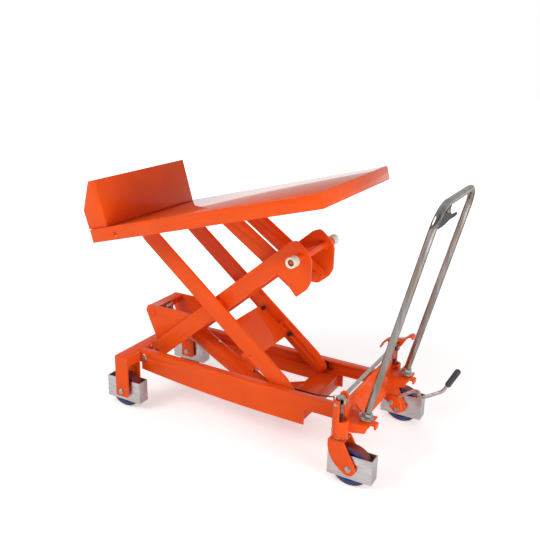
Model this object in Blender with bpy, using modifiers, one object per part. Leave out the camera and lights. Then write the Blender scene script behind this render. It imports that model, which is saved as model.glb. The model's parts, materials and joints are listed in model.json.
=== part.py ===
"""Mobile scissor lift table with a tilting platform, modelled raised and tilted.

Metres, +Z up. X runs along the table, with the push handle and the swivel castors at +X.
Y runs across it. Every X below is measured from the middle of the wheelbase, and the
whole table hangs from one empty that moves the origin to the middle of its length.
"""

from math import atan2, cos, hypot, pi, radians, sin

import bmesh
import bpy
from mathutils import Matrix, Vector

# ---------------------------------------------------------------- driving dimensions
CENTRE_SHIFT = -0.0563      # moves the middle of the wheelbase so that the origin is mid-length
GAP = 0.0004                # left between touching pieces
PLATE = 0.006               # ordinary steel plate

WHEEL_RADIUS = 0.0625
WHEEL_WIDTH = 0.035
AXLE_RADIUS = 0.006
FIXED_X, FIXED_Y = -0.432, 0.195
SWIVEL_AXLE_X, KINGPIN_X, SWIVEL_Y = 0.432, 0.388, 0.220
GUARD_LENGTH, GUARD_HALF_WIDTH, GUARD_LOW, GUARD_HIGH = 0.140, 0.0224, 0.026, 0.104

RAIL_OUTER, RAIL_DEPTH, RAIL_TOP, RAIL_HEIGHT = 0.153, 0.027, 0.197, 0.0445
RAIL_START, RAIL_END = -0.4085, 0.3846
TRACK_Z = 0.1745            # height of the channels' middle, where the lower rollers run

ARM_THICK = 0.008
INNER_ARM_Y, OUTER_ARM_Y = 0.082, 0.115
ARM_PIVOT = (-0.388, TRACK_Z)
PLATFORM_PIVOT = (-0.411, 0.640)
LOWER_ROLLER = (0.1664, TRACK_Z)
CENTRE_PIVOT = ((PLATFORM_PIVOT[0] + LOWER_ROLLER[0]) / 2, (PLATFORM_PIVOT[1] + TRACK_Z) / 2)

TILT = radians(15.33)
DECK_LENGTH, DECK_WIDTH, DECK_DEPTH, SHEET = 0.855, 0.500, 0.046, 0.003
DECK_CORNER = (-0.508, 0.5926)   # lower front edge of the tilted tray
STOP_FOOT, SEAT_DEPTH = 0.0715, 0.0003    # the load stop stands over a shallow step in the tray's top
STRUT_Y = 0.060
STRUT_FOOT = (0.158, 0.521)
STRUT_HEAD = (-0.1003, 0.6961)
SLOT_LENGTH, SLOT_HALF, TILT_PIN_RADIUS = 0.0475, 0.0099, 0.004

RAM_HEAD = (-0.405, 0.312)
RAM_FOOT = (0.030, 0.0855)
BARREL_RADIUS, BORE_RADIUS, RAM_RADIUS = 0.032, 0.0135, 0.0125

HANDLE_FOOT, HANDLE_TOP, HANDLE_HALF = (0.4452, 0.1905), (0.6040, 0.8480), 0.1724
TUBE_RADIUS = 0.0107
BRAKE_AXIS = (0.384, 0.262)
ROD_RADIUS = 0.004
PEDAL_AXIS = (0.450, 0.157)

SHAFT_RADIUS, HINGE_RADIUS = 0.010, 0.008
LEG_OUTER = 0.035           # from a fixed wheel's middle to the outside of its legs
CORE_RADIUS = 0.0556
END_PLATE_X = 0.385
UPPER_ROLLER = (0.7157, -0.0363)     # along and above the inner arm's pivot line
PUMP_OFFSET = 0.052
PEDAL_ARM_Y = 0.0400
LEVER_PIVOT = (-0.0447, 0.6393)       # across the handle and along its tubes

ORANGE = ("orange_paint", (0.88, 0.105, 0.016), 0.32, 0.0)
SILVER = ("zinc_steel", (0.70, 0.70, 0.71), 0.30, 1.0)
CHROME = ("polished_tube", (0.78, 0.77, 0.76), 0.14, 1.0)
GUARD = ("brushed_guard", (0.66, 0.66, 0.68), 0.38, 1.0)
TREAD = ("red_brown_tread", (0.17, 0.030, 0.022), 0.45, 0.0)
CORE = ("blue_core", (0.020, 0.065, 0.22), 0.40, 0.0)
NYLON = ("white_nylon", (0.80, 0.76, 0.66), 0.42, 0.0)
BLACK = ("black_plastic", (0.022, 0.023, 0.025), 0.50, 0.0)
RUBBER = ("grey_grip", (0.055, 0.057, 0.060), 0.75, 0.0)

# ---------------------------------------------------------------- scene and helpers
for old in list(bpy.data.objects):
    bpy.data.objects.remove(old, do_unlink=True)

table = bpy.data.collections.new("scissor_lift_table")
construction = bpy.data.collections.new("construction")
bpy.context.scene.collection.children.link(table)
bpy.context.scene.collection.children.link(construction)
materials = {}


def material(finish):
    name, colour, roughness, metallic = finish
    if name not in materials:
        made = bpy.data.materials.new(name)
        made.use_nodes = True
        shader = made.node_tree.nodes["Principled BSDF"]
        shader.inputs["Base Color"].default_value = (*colour, 1.0)
        shader.inputs["Roughness"].default_value = roughness
        shader.inputs["Metallic"].default_value = metallic
        materials[name] = made
    return materials[name]


def add_object(name, data, finish):
    made = bpy.data.objects.new(name, data)
    data.materials.append(material(finish))
    table.objects.link(made)
    return made


def set_smooth(mesh, angle=35):
    mesh.shade_smooth()
    mesh.set_sharp_from_angle(angle=radians(angle))


def mesh_object(name, shape, finish, smooth=True):
    """An object that takes over a finished bmesh."""
    mesh = bpy.data.meshes.new(name)
    bmesh.ops.recalc_face_normals(shape, faces=shape.faces)
    shape.to_mesh(mesh)
    shape.free()
    if smooth:
        set_smooth(mesh)
    return add_object(name, mesh, finish)


def block(name, xs, ys, zs, finish=ORANGE, bevel=0.0, segments=2):
    """A box between two X, two Y and two Z values, with its edges rounded where bevel is given."""
    shape = bmesh.new()
    bmesh.ops.create_cube(shape, size=1.0)
    for vert in shape.verts:
        vert.co = Vector(a + (share + 0.5) * (b - a) for share, (a, b) in zip(vert.co, (xs, ys, zs)))
    if bevel:
        bmesh.ops.bevel(shape, geom=shape.edges[:], offset=bevel, segments=segments,
                        profile=0.5, affect="EDGES")
    return mesh_object(name, shape, finish)


def bar(name, start, end, radius, finish=SILVER, sides=20, end_radius=None):
    """A round bar or cone from one point to another."""
    start, end = Vector(start), Vector(end)
    shape = bmesh.new()
    bmesh.ops.create_cone(shape, cap_ends=True, segments=sides, radius1=radius,
                          radius2=radius if end_radius is None else end_radius,
                          depth=(end - start).length)
    turn = (end - start).to_track_quat("Z", "Y").to_matrix().to_4x4()
    bmesh.ops.transform(shape, matrix=Matrix.Translation((start + end) / 2) @ turn, verts=shape.verts)
    return mesh_object(name, shape, finish)


def cross_bar(name, place, y_from, y_to, radius, finish=SILVER, sides=20):
    """A round bar that runs across the table at one (x, z)."""
    return bar(name, (place[0], y_from, place[1]), (place[0], y_to, place[1]), radius, finish, sides)


def arc(centre, radius, first, last, steps=6):
    """Points on an arc, with angles in degrees."""
    angles = [radians(first + (last - first) * i / steps) for i in range(steps + 1)]
    return [(centre[0] + radius * cos(a), centre[1] + radius * sin(a)) for a in angles]


def rounded(corners, steps=3):
    """An outline whose corners (x, z, radius) are rounded with short arcs."""
    points = []
    for i, (x, z, radius) in enumerate(corners):
        here = Vector((x, z))
        if radius == 0:
            points.append((x, z))
            continue
        before = (Vector(corners[i - 1][:2]) - here).normalized()
        after = (Vector(corners[(i + 1) % len(corners)][:2]) - here).normalized()
        half = before.angle(after) / 2
        reach = radius * abs(cos(half) / sin(half))
        centre = here + (before + after).normalized() * radius / sin(half)
        start, end = here + before * reach - centre, here + after * reach - centre
        turn = start.angle_signed(end)
        for k in range(steps + 1):
            step = start.copy()
            step.rotate(Matrix.Rotation(-turn * k / steps, 2))
            points.append(tuple(centre + step))
    return points


def circle(centre, radius, sides=20):
    return [(centre[0] + radius * cos(2 * pi * i / sides), centre[1] + radius * sin(2 * pi * i / sides))
            for i in range(sides)]


def plate(name, outlines, low, high, finish=ORANGE, plane="XZ"):
    """Flat plate from outlines, the first outside and the others holes.

    In plane XZ it lies between two Y values, in plane YZ between two X values,
    and in plane XY between two Z values.
    """
    curve = bpy.data.curves.new(name + "_outline", "CURVE")
    curve.dimensions = "2D"
    curve.fill_mode = "BOTH"
    curve.extrude = (high - low) / 2
    for outline in outlines:
        spline = curve.splines.new("POLY")
        spline.points.add(len(outline) - 1)
        for point, (u, v) in zip(spline.points, outline):
            point.co = (u, v, 0.0, 1.0)
        spline.use_cyclic_u = True
    middle = (low + high) / 2
    to_plane = {
        "XZ": Matrix(((1, 0, 0, 0), (0, 0, 1, middle), (0, 1, 0, 0), (0, 0, 0, 1))),
        "YZ": Matrix(((0, 0, 1, middle), (1, 0, 0, 0), (0, 1, 0, 0), (0, 0, 0, 1))),
        "XY": Matrix(((1, 0, 0, 0), (0, 1, 0, 0), (0, 0, 1, middle), (0, 0, 0, 1))),
    }[plane]
    drawn = bpy.data.objects.new(name + "_outline", curve)
    construction.objects.link(drawn)
    bpy.context.view_layer.update()
    graph = bpy.context.evaluated_depsgraph_get()
    flat = bpy.data.meshes.new_from_object(drawn.evaluated_get(graph))
    shape = bmesh.new()
    shape.from_mesh(flat)
    bmesh.ops.transform(shape, matrix=to_plane, verts=shape.verts)
    bmesh.ops.remove_doubles(shape, verts=shape.verts, dist=1e-6)
    bpy.data.objects.remove(drawn)
    bpy.data.curves.remove(curve)
    bpy.data.meshes.remove(flat)
    return mesh_object(name, shape, finish)


def turned(name, profile, place, axis, finish, steps=40):
    """A turned piece from a profile of (radius, height), outer side top to bottom, about axis."""
    mesh = bpy.data.meshes.new(name)
    closed = profile[0][0] > 0
    edges = [(i, i + 1) for i in range(len(profile) - 1)]
    if closed:
        edges.append((len(profile) - 1, 0))
    mesh.from_pydata([(r, 0.0, h) for r, h in profile], edges, [])
    made = add_object(name, mesh, finish)
    screw = made.modifiers.new("turn", "SCREW")
    screw.angle = 2 * pi
    screw.steps = screw.render_steps = steps
    screw.use_merge_vertices = True
    screw.merge_threshold = 0.00001
    screw.use_smooth_shade = True
    turn = Vector(axis).to_track_quat("Z", "Y").to_matrix().to_4x4()
    return settle(made, Matrix.Translation(place) @ turn)


def tube_along(name, points, radius, finish, sides=3):
    """A round rod or wire along points, with filled ends."""
    curve = bpy.data.curves.new(name, "CURVE")
    curve.dimensions = "3D"
    curve.bevel_depth = radius
    curve.bevel_resolution = sides
    curve.use_fill_caps = True
    spline = curve.splines.new("POLY")
    spline.points.add(len(points) - 1)
    for point, where in zip(spline.points, points):
        point.co = (*where, 1.0)
    return settle(add_object(name, curve, finish))


def settle(made, place=None):
    """Replaces an object's modifiers or curve by the mesh that they make."""
    bpy.context.view_layer.update()
    graph = bpy.context.evaluated_depsgraph_get()
    mesh = bpy.data.meshes.new_from_object(made.evaluated_get(graph))
    name, before = made.name, made.data
    finish = before.materials[0]
    bpy.data.objects.remove(made)
    shape = bmesh.new()
    shape.from_mesh(mesh)
    bmesh.ops.remove_doubles(shape, verts=shape.verts, dist=1e-6)
    if place is not None:
        bmesh.ops.transform(shape, matrix=place, verts=shape.verts)
    shape.to_mesh(mesh)
    shape.free()
    mesh.name = name
    mesh.materials.clear()
    mesh.materials.append(finish)
    set_smooth(mesh)
    final = bpy.data.objects.new(name, mesh)
    table.objects.link(final)
    return final


def shaped(main, add=(), cut=()):
    """Joins pieces to main and cuts others from it, then keeps only the result."""
    for other, operation in [(o, "UNION") for o in add] + [(o, "DIFFERENCE") for o in cut]:
        step = main.modifiers.new(other.name, "BOOLEAN")
        step.operation = operation
        step.object = other
    result = settle(main)
    for other in (*add, *cut):
        bpy.data.objects.remove(other)
    return result


def framed(origin, angle):
    """A function from (along, above) beside a slanted line to (x, z)."""
    return lambda s, p: (origin[0] + s * cos(angle) - p * sin(angle),
                         origin[1] + s * sin(angle) + p * cos(angle))


def slanted(frame, corners, steps=3):
    """A rounded outline whose corners are given in a slanted frame."""
    return rounded([(*frame(s, p), radius) for s, p, radius in corners], steps)


bodies = {}


def body(name, place=(0, 0, 0), parent=None):
    """An empty on a joint's axis, which carries the pieces of one moving body."""
    empty = bpy.data.objects.new(name + "_axis", None)
    empty.empty_display_size = 0.03
    construction.objects.link(empty)
    bodies[name] = empty, Vector(place)
    if parent:
        empty.parent, parent_place = bodies[parent]
        empty.location = Vector(place) - parent_place


def put(body_name, *pieces):
    """Hangs pieces on a body, with their origins on its joint's axis."""
    empty, place = bodies[body_name]
    for piece in pieces:
        piece.data.transform(Matrix.Translation(-place))
        piece.parent = empty


SIDES = (("left", -1), ("right", 1))
INNER_FRAME = framed(ARM_PIVOT, atan2(CENTRE_PIVOT[1] - ARM_PIVOT[1], CENTRE_PIVOT[0] - ARM_PIVOT[0]))
OUTER_FRAME = framed(CENTRE_PIVOT, atan2(TRACK_Z - CENTRE_PIVOT[1], LOWER_ROLLER[0] - CENTRE_PIVOT[0]))
OUTER_HALF_LENGTH = hypot(LOWER_ROLLER[0] - CENTRE_PIVOT[0], CENTRE_PIVOT[1] - TRACK_Z)
STRUT_FRAME = framed(STRUT_HEAD, atan2(STRUT_FOOT[1] - STRUT_HEAD[1], STRUT_FOOT[0] - STRUT_HEAD[0]))
RAM_LENGTH = hypot(RAM_HEAD[0] - RAM_FOOT[0], RAM_HEAD[1] - RAM_FOOT[1])
RAM_FROM_HEAD = framed(RAM_HEAD, atan2(RAM_FOOT[1] - RAM_HEAD[1], RAM_FOOT[0] - RAM_HEAD[0]))
HANDLE_LENGTH = hypot(HANDLE_TOP[0] - HANDLE_FOOT[0], HANDLE_TOP[1] - HANDLE_FOOT[1])
HANDLE_LEAN = atan2(HANDLE_TOP[0] - HANDLE_FOOT[0], HANDLE_TOP[1] - HANDLE_FOOT[1])


def spread(side, near, far):
    """The lower and the upper Y of a piece between two distances from the middle."""
    return tuple(sorted((side * near, side * far)))


# ---------------------------------------------------------------- base frame
def side_rail(side_name, side):
    """Channel that opens inwards, with the tapering skirt plate below it."""
    name = "side_rail_" + side_name
    low = RAIL_TOP - RAIL_HEIGHT
    along = (RAIL_START, RAIL_END)
    web = block(name, along, spread(side, RAIL_OUTER - 0.005, RAIL_OUTER), (low, RAIL_TOP), bevel=0.0015)
    flange_y = spread(side, RAIL_OUTER - RAIL_DEPTH, RAIL_OUTER - 0.002)
    flanges = [block(f"flange_{i}", along, flange_y, (z, z + 0.0045))
               for i, z in enumerate((low, RAIL_TOP - 0.0045))]
    skirt_low, skirt_end = 0.099, 0.236
    belly = [(-0.400 + 0.54 * t, 0.127 - 0.028 * t * (2 - t)) for t in [i / 8 for i in range(9)]]
    outline = belly + [(skirt_end, skirt_low), (skirt_end, low + 0.003), (-0.400, low + 0.003)]
    skirt = plate("skirt", [outline], *spread(side, RAIL_OUTER - 0.0055, RAIL_OUTER - 0.0008))
    hole = cross_bar("hole", ARM_PIVOT, *spread(side, 0.1, 0.2), SHAFT_RADIUS + GAP)
    return shaped(web, add=[*flanges, skirt], cut=[hole])


def front_cross_frame():
    """Inverted channel across the front, with a pair of legs down to each fixed castor's axle."""
    half = 0.023
    xs = (FIXED_X - half, FIXED_X + half)
    top, low = 0.195, 0.160
    end = FIXED_Y + LEG_OUTER
    beam = block("front_cross_frame", xs, (-end, end), (low, top), bevel=0.0015)
    hollow = block("hollow", (xs[0] + 0.004, xs[1] - 0.004), (PLATE - end, end - PLATE),
                   (low - 0.01, top - 0.004))
    beam = shaped(beam, cut=[hollow])
    windows = [block("window", (xs[1] - 0.010, xs[1] + 0.010),
                     spread(side, INNER_ARM_Y - 0.006, INNER_ARM_Y + 0.006), (low - 0.01, top - 0.0035))
               for _, side in SIDES]
    legs = []
    leg_back = -0.402
    for _, side in SIDES:
        ys = spread(side, RAIL_OUTER + 0.0015, end - 0.001)
        legs.append(block("shoulder", (xs[1] - 0.001, leg_back), ys, (low + 0.001, top - 0.001)))
        for inner in (FIXED_Y + LEG_OUTER - PLATE, FIXED_Y - LEG_OUTER):
            outline = rounded([(xs[0], top - 0.002, 0), (leg_back, top - 0.002, 0), (leg_back, 0.044, 0.007),
                               (xs[0], 0.044, 0.007)])
            legs.append(plate("leg", [outline, circle((FIXED_X, WHEEL_RADIUS), AXLE_RADIUS + GAP)],
                              *spread(side, inner, inner + PLATE)))
    return shaped(shaped(beam, cut=windows), add=legs)


def cross_member():
    """Inverted channel between the skirts, with the ram's foot bearing welded in front of it."""
    xs, zs, end = (0.150, 0.226), (0.100, 0.1515), 0.1471
    beam = block("cross_member", xs, (-end, end), zs, bevel=0.0015)
    hollow = block("hollow", (xs[0] + 0.004, xs[1] - 0.004), (0.004 - end, end - 0.004),
                   (zs[0] - 0.01, zs[1] - 0.004))
    lug_outline = rounded([(0.152, 0.146, 0), (0.152, 0.104, 0), (0.046, 0.0655, 0.01),
                           (0.008, 0.0655, 0.012), (0.008, 0.1060, 0.012), (0.060, 0.1160, 0.02)])
    lugs = [plate("lug", [lug_outline], *spread(side, 0.0345, 0.0405)) for _, side in SIDES]
    pin = cross_bar("pin", RAM_FOOT, -0.044, 0.044, 0.008)
    return shaped(shaped(beam, cut=[hollow]), add=[*lugs, pin])


def castor_housing(side):
    """Bearing tube of a swivel castor, whose outer front wall carries on upwards as a curved tab."""
    at = lambda z: (KINGPIN_X, side * SWIVEL_Y, z)
    tab_top = 0.266 if side < 0 else 0.2515
    radius, rim, wall = 0.025, 0.200, 0.0045
    housing = bar("housing", at(0.148), at(tab_top), radius, sides=32)
    back = block("back", (KINGPIN_X + 0.004, KINGPIN_X + 0.03), spread(side, 0.18, 0.26), (rim, 0.30))
    inside = block("inside", (KINGPIN_X - 0.03, KINGPIN_X + 0.03), spread(side, 0.18, 0.2275), (rim, 0.30))
    well = bar("well", at(rim), at(0.30), radius - wall, sides=32)
    return shaped(housing, cut=[back, inside, well])


def rear_frame():
    """Upright end plate with its apron, handle brackets, castor housings and brake bearings."""
    top = 0.246
    outline = rounded([(-0.196, top, 0.004), (0.196, top, 0.004), (0.196, 0.1480, 0), (0.125, 0.150, 0.01),
                       (0.085, 0.128, 0.02), (-0.085, 0.128, 0.02), (-0.125, 0.150, 0.01),
                       (-0.196, 0.1480, 0)])
    frame = plate("rear_frame", [outline], END_PLATE_X, END_PLATE_X + PLATE, plane="YZ")
    out, inset = END_PLATE_X + 0.003, END_PLATE_X + 0.002
    apron = plate("apron", [[(out, 0.208), (out, 0.200), (0.424, 0.1636), (0.430, 0.1668)]], -0.118, 0.118)
    pieces = [apron]
    for _, side in SIDES:
        ys = spread(side, 0.132, 0.208)
        pieces.append(block("shelf", (out, 0.469), ys, (0.1840, 0.1900), bevel=0.0015))
        cheek = rounded([(inset, 0.188, 0), (0.467, 0.188, 0), (0.460, 0.1660, 0.006),
                         (0.413, 0.1560, 0.010), (inset, 0.1510, 0)])
        pieces += [plate("cheek", [cheek], *spread(side, y, y + 0.005)) for y in (0.1325, 0.2025)]
        hook = rounded([(0.462, 0.1885, 0.002), (0.483, 0.1885, 0.004), (0.483, 0.1700, 0.004),
                        (0.476, 0.1700, 0.003), (0.476, 0.1800, 0.002), (0.462, 0.1800, 0.002)])
        pieces.append(plate("hook", [hook], *spread(side, 0.160, 0.180)))
        ear = rounded([(0.3705, 0.230, 0), (0.3705, 0.276, 0.013), (0.3975, 0.276, 0.013),
                       (0.3975, 0.230, 0)])
        pieces.append(plate("ear", [ear], *spread(side, 0.1885, 0.1945)))
        pieces.append(castor_housing(side))
    lug = rounded([(inset, 0.200, 0), (0.425, 0.175, 0), (0.462, 0.166, 0.010), (0.466, 0.144, 0.012),
                   (0.438, 0.140, 0.010), (inset, 0.160, 0)])
    stud_y = PEDAL_ARM_Y - 0.0065
    pieces += [plate("pedal_lug", [lug], 0.0585, 0.0645),
               cross_bar("pedal_stud", PEDAL_AXIS, stud_y, 0.060, 0.006),
               cross_bar("pedal_stud_head", PEDAL_AXIS, stud_y - 0.004, stud_y + 0.001, 0.0095)]
    bores = [bar("bore", (KINGPIN_X, side * SWIVEL_Y, 0.14), (KINGPIN_X, side * SWIVEL_Y, 0.21), 0.0170)
             for _, side in SIDES]
    bores.append(cross_bar("brake_bore", BRAKE_AXIS, -0.21, 0.21, 0.006 + GAP))
    return shaped(shaped(frame, add=pieces), cut=bores)


def guard(name, x_middle, y_middle):
    """Rectangular sheet guard round a wheel, open above and below."""
    xs = (x_middle - GUARD_LENGTH / 2, x_middle + GUARD_LENGTH / 2)
    ys = (y_middle - GUARD_HALF_WIDTH, y_middle + GUARD_HALF_WIDTH)
    sheet = 0.0025
    box = block(name, xs, ys, (GUARD_LOW, GUARD_HIGH), GUARD)
    inside = block("inside", (xs[0] + sheet, xs[1] - sheet), (ys[0] + sheet, ys[1] - sheet),
                   (GUARD_LOW - 0.01, GUARD_HIGH + 0.01))
    hole = cross_bar("hole", (x_middle, WHEEL_RADIUS), ys[0] - 0.01, ys[1] + 0.01, AXLE_RADIUS + GAP)
    return shaped(box, cut=[inside, hole])


def axle(name, x, y, reach):
    """Axle bolt with a head at each end, outside two legs that stand reach from the middle."""
    shank = cross_bar(name, (x, WHEEL_RADIUS), y - reach - 0.001, y + reach + 0.001, AXLE_RADIUS)
    heads = [cross_bar("head", (x, WHEEL_RADIUS), *sorted((y + s * (reach + GAP), y + s * (reach + 0.005))),
                       0.0095, sides=6) for _, s in SIDES]
    return shaped(shank, add=heads)


def tread(name, x, y):
    shoulder, half = 0.0025, WHEEL_WIDTH / 2
    profile = [(WHEEL_RADIUS - shoulder, half), (WHEEL_RADIUS, half - shoulder),
               (WHEEL_RADIUS, shoulder - half), (WHEEL_RADIUS - shoulder, -half),
               (CORE_RADIUS + GAP, 0.001 - half), (CORE_RADIUS + GAP, half - 0.001)]
    return turned(name, profile, (x, y, WHEEL_RADIUS), (0, 1, 0), TREAD, 36)


def core(name, x, y):
    """Wheel centre with a rim, a web and a hub that turns on the axle."""
    half = 0.0165
    side = [(CORE_RADIUS, half), (CORE_RADIUS - 0.011, half), (CORE_RADIUS - 0.014, 0.006), (0.0230, 0.006),
            (0.0200, half), (AXLE_RADIUS + GAP, half)]
    profile = [side[0]] + [(r, -h) for r, h in side] + side[:0:-1]
    return turned(name, profile, (x, y, WHEEL_RADIUS), (0, 1, 0), CORE, 24)


def fork(name, y):
    """Swivel fork: top plate, two swept legs, and a hollow stem in the housing's bearing."""
    top, left, right = 0.1430, KINGPIN_X - 0.0240, KINGPIN_X + 0.0245
    eye = (SWIVEL_AXLE_X, WHEEL_RADIUS)
    start, bulge, end = (left, 0.122), (left + 0.006, 0.072), arc(eye, 0.0225, 225, 225, 1)[0]
    sweep = [tuple((1 - t) ** 2 * p + 2 * t * (1 - t) * q + t * t * r for p, q, r in zip(start, bulge, end))
             for t in [i / 8 for i in range(8)]]
    outline = [(right, top), (left, top), *sweep, *arc(eye, 0.0225, 225, 375, 10)]
    legs = [plate("leg", [outline, circle(eye, AXLE_RADIUS + GAP)], *sorted((y + s * 0.025, y + s * 0.031)))
            for _, s in SIDES]
    crown = block(name, (left + 0.0005, right - 0.0005), (y - 0.0305, y + 0.0305),
                  (top - PLATE, top - 0.0002))
    stem = bar("stem", (KINGPIN_X, y, top - 0.003), (KINGPIN_X, y, 0.192), 0.0166, sides=32)
    collar = bar("collar", (KINGPIN_X, y, top - 0.003), (KINGPIN_X, y, 0.1476), 0.0215, sides=32)
    bore = bar("bore", (KINGPIN_X, y, 0.12), (KINGPIN_X, y, 0.21), 0.0056, sides=20)
    return shaped(crown, add=[*legs, collar, stem], cut=[bore])


def push_handle():
    """Tube bent to a U that leans back over the swivel castors, with the lever's lug on its top bar."""
    radius, foot = 0.065, 0.0028
    side_run = HANDLE_LENGTH - radius
    bend = [(HANDLE_HALF - radius + radius * cos(a), side_run + radius * sin(a))
            for a in [pi / 2 * i / 10 for i in range(11)]]
    half_loop = [(HANDLE_HALF, foot), *bend]
    loop = half_loop + [(-y, w) for y, w in reversed(half_loop)]
    tube = tube_along("push_handle", [on_handle(y, w) for y, w in loop], TUBE_RADIUS, CHROME, 4)
    y, w = LEVER_PIVOT
    lug = rounded([(y - 0.012, w - 0.012, 0.011), (y + 0.012, w - 0.012, 0.011),
                   (y + 0.010, HANDLE_LENGTH, 0), (y - 0.010, HANDLE_LENGTH, 0)])
    lug = lay_on_handle(plate("lug", [lug], -0.0095, -0.0055, CHROME, "XY"))
    stud = bar("stud", on_handle(y, w, -0.0085), on_handle(y, w, -0.0210), 0.004, CHROME, 16)
    head = bar("head", on_handle(y, w, -0.0182), on_handle(y, w, -0.0215), 0.0075, CHROME, 16)
    return shaped(tube, add=[lug, stud, head])


def on_handle(y, along, off=0.0):
    """A point in the handle's plane, at a distance along its tubes and off its plane."""
    up = Vector((sin(HANDLE_LEAN), 0, cos(HANDLE_LEAN)))
    out = Vector((cos(HANDLE_LEAN), 0, -sin(HANDLE_LEAN)))
    foot = Vector((HANDLE_FOOT[0], y, HANDLE_FOOT[1]))
    return foot + up * along + out * off


def lay_on_handle(piece):
    """Moves a plate drawn as (across, along, off) into the handle's plane."""
    for vert in piece.data.vertices:
        vert.co = on_handle(*vert.co)
    return piece


def handle_flange(name, side):
    profile = [(0.0155, 0.028), (0.0155, 0.0135), (0.0220, 0.0135), (0.0220, 0.0085),
               (TUBE_RADIUS + GAP, 0.0085), (TUBE_RADIUS + GAP, 0.028)]
    axis = on_handle(0, 1) - on_handle(0, 0)
    return turned(name, profile, on_handle(side * HANDLE_HALF, 0), axis, SILVER, 32)


# ---------------------------------------------------------------- scissor arms
def inner_arm(side_name, side):
    """Arm from the frame's pivot to the upper rollers, with the deep plate that carries them."""
    outline = slanted(INNER_FRAME, [
        (0.030, 0.029, 0.020), (-0.024, 0.0225, 0.0225), (-0.024, -0.0225, 0.0225), (0.030, -0.031, 0.020),
        (0.610, -0.034, 0.003), (0.620, -0.066, 0.010),
        (0.620, -0.126, 0.004), (0.664, -0.1265, 0.010), (0.690, -0.116, 0.012), (0.738, -0.062, 0.020),
        (0.742, -0.032, 0.030), (0.736, 0.013, 0.020), (0.708, 0.0215, 0.010)])
    holes = [circle(ARM_PIVOT, SHAFT_RADIUS + GAP), circle(CENTRE_PIVOT, 0.0124),
             circle(INNER_FRAME(*UPPER_ROLLER), SHAFT_RADIUS + GAP)]
    arm = plate("inner_arm_" + side_name, [outline, *holes],
                *spread(side, INNER_ARM_Y - ARM_THICK / 2, INNER_ARM_Y + ARM_THICK / 2))
    stud = cross_bar("stud", STRUT_FOOT, *spread(side, 0.0505, 0.0790), 0.008)
    spacer = cross_bar("spacer", STRUT_FOOT, *spread(side, 0.0645, 0.0790), 0.013)
    head = cross_bar("head", STRUT_FOOT, *spread(side, 0.0500, 0.0555), 0.0125)
    return shaped(arm, add=[stud, spacer, head])


def roller_shaft():
    place = INNER_FRAME(*UPPER_ROLLER)
    shaft = cross_bar("roller_shaft", place, -0.150, 0.150, SHAFT_RADIUS, ORANGE)
    tube = cross_bar("tube", place, -0.0775, 0.0775, 0.0125)
    shoulders = [cross_bar("shoulder", place, *spread(side, 0.0865, 0.1265), 0.0125) for _, side in SIDES]
    return shaped(shaft, add=[tube, *shoulders])


def lift_bracket():
    """Two side plates on the inner arms and the web between them, which the ram pushes."""
    outline = rounded([(-0.434, 0.318, 0.010), (-0.426, 0.341, 0.016), (-0.236, 0.342, 0.004),
                       (-0.262, 0.285, 0.004), (-0.350, 0.208, 0.004), (-0.386, 0.212, 0.004)])
    sides = [plate("cheek", [outline, circle(RAM_HEAD, 0.0084)], *spread(side, 0.0705, 0.0775))
             for _, side in SIDES]
    web = block("lift_bracket", (-0.4180, -0.384), (-0.072, 0.072), (0.3345, 0.3405))
    return shaped(web, add=sides)


def headed_pin(name, place, reach, radius, head_radius, head=0.004, finish=SILVER):
    """Pin across the table with a head at each end."""
    shank = cross_bar(name, place, -reach - head / 2, reach + head / 2, radius, finish)
    heads = [cross_bar("head", place, *spread(side, reach, reach + head), head_radius) for _, side in SIDES]
    return shaped(shank, add=heads)


def roller(name, place, y_range, radius, bore, finish):
    half = (y_range[1] - y_range[0]) / 2
    edge = 0.0015
    profile = [(radius - edge, half), (radius, half - edge), (radius, edge - half), (radius - edge, -half),
               (bore, -half), (bore, half)]
    return turned(name, profile, (place[0], sum(y_range) / 2, place[1]), (0, 1, 0), finish, 24)


def outer_arm(side_name, side):
    """Arm from the platform's hinge to the roller in the side rail."""
    half = OUTER_HALF_LENGTH
    outline = slanted(OUTER_FRAME, [
        (-half - 0.0195, 0.0180, 0.018), (-half - 0.0195, -0.0180, 0.018), (-half + 0.040, -0.030, 0.02),
        (half - 0.040, -0.0300, 0.02), (half + 0.020, -0.0190, 0.019), (half + 0.020, 0.0190, 0.019),
        (half - 0.040, 0.0300, 0.02), (-half + 0.040, 0.030, 0.02)])
    holes = [circle(PLATFORM_PIVOT, HINGE_RADIUS + GAP), circle(OUTER_FRAME(0.196, -0.019), 0.0028, 12)]
    arm = plate("outer_arm_" + side_name, [outline, *holes],
                *spread(side, OUTER_ARM_Y - ARM_THICK / 2, OUTER_ARM_Y + ARM_THICK / 2))
    rib = slanted(OUTER_FRAME, [(0.165, -0.010, 0.010), (half + 0.012, -0.010, 0.009),
                                (half + 0.012, 0.014, 0.009), (0.165, 0.022, 0.012)])
    groove = slanted(OUTER_FRAME, [(0.178, -0.002, 0.005), (half - 0.030, -0.002, 0.005),
                                   (half - 0.030, 0.012, 0.005), (0.178, 0.012, 0.005)])
    add = [plate("rib", [rib, groove], *spread(side, 0.1035, 0.1113)),
           cross_bar("bush", CENTRE_PIVOT, *spread(side, 0.0865, 0.1120), 0.020),
           cross_bar("stud", CENTRE_PIVOT, *spread(side, 0.0735, 0.0880), 0.012),
           cross_bar("clip", CENTRE_PIVOT, *spread(side, 0.0735, 0.0776), 0.016),
           cross_bar("roller_stud", LOWER_ROLLER, *spread(side, 0.1180, 0.1468), 0.009)]
    return shaped(arm, add=add)


def torsion_plate():
    corners = (0.075, -0.013), (0.215, -0.013), (0.215, -0.007), (0.075, -0.007)
    outline = [OUTER_FRAME(s, p) for s, p in corners]
    return plate("torsion_plate", [outline], -0.1031, 0.1031)


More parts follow.
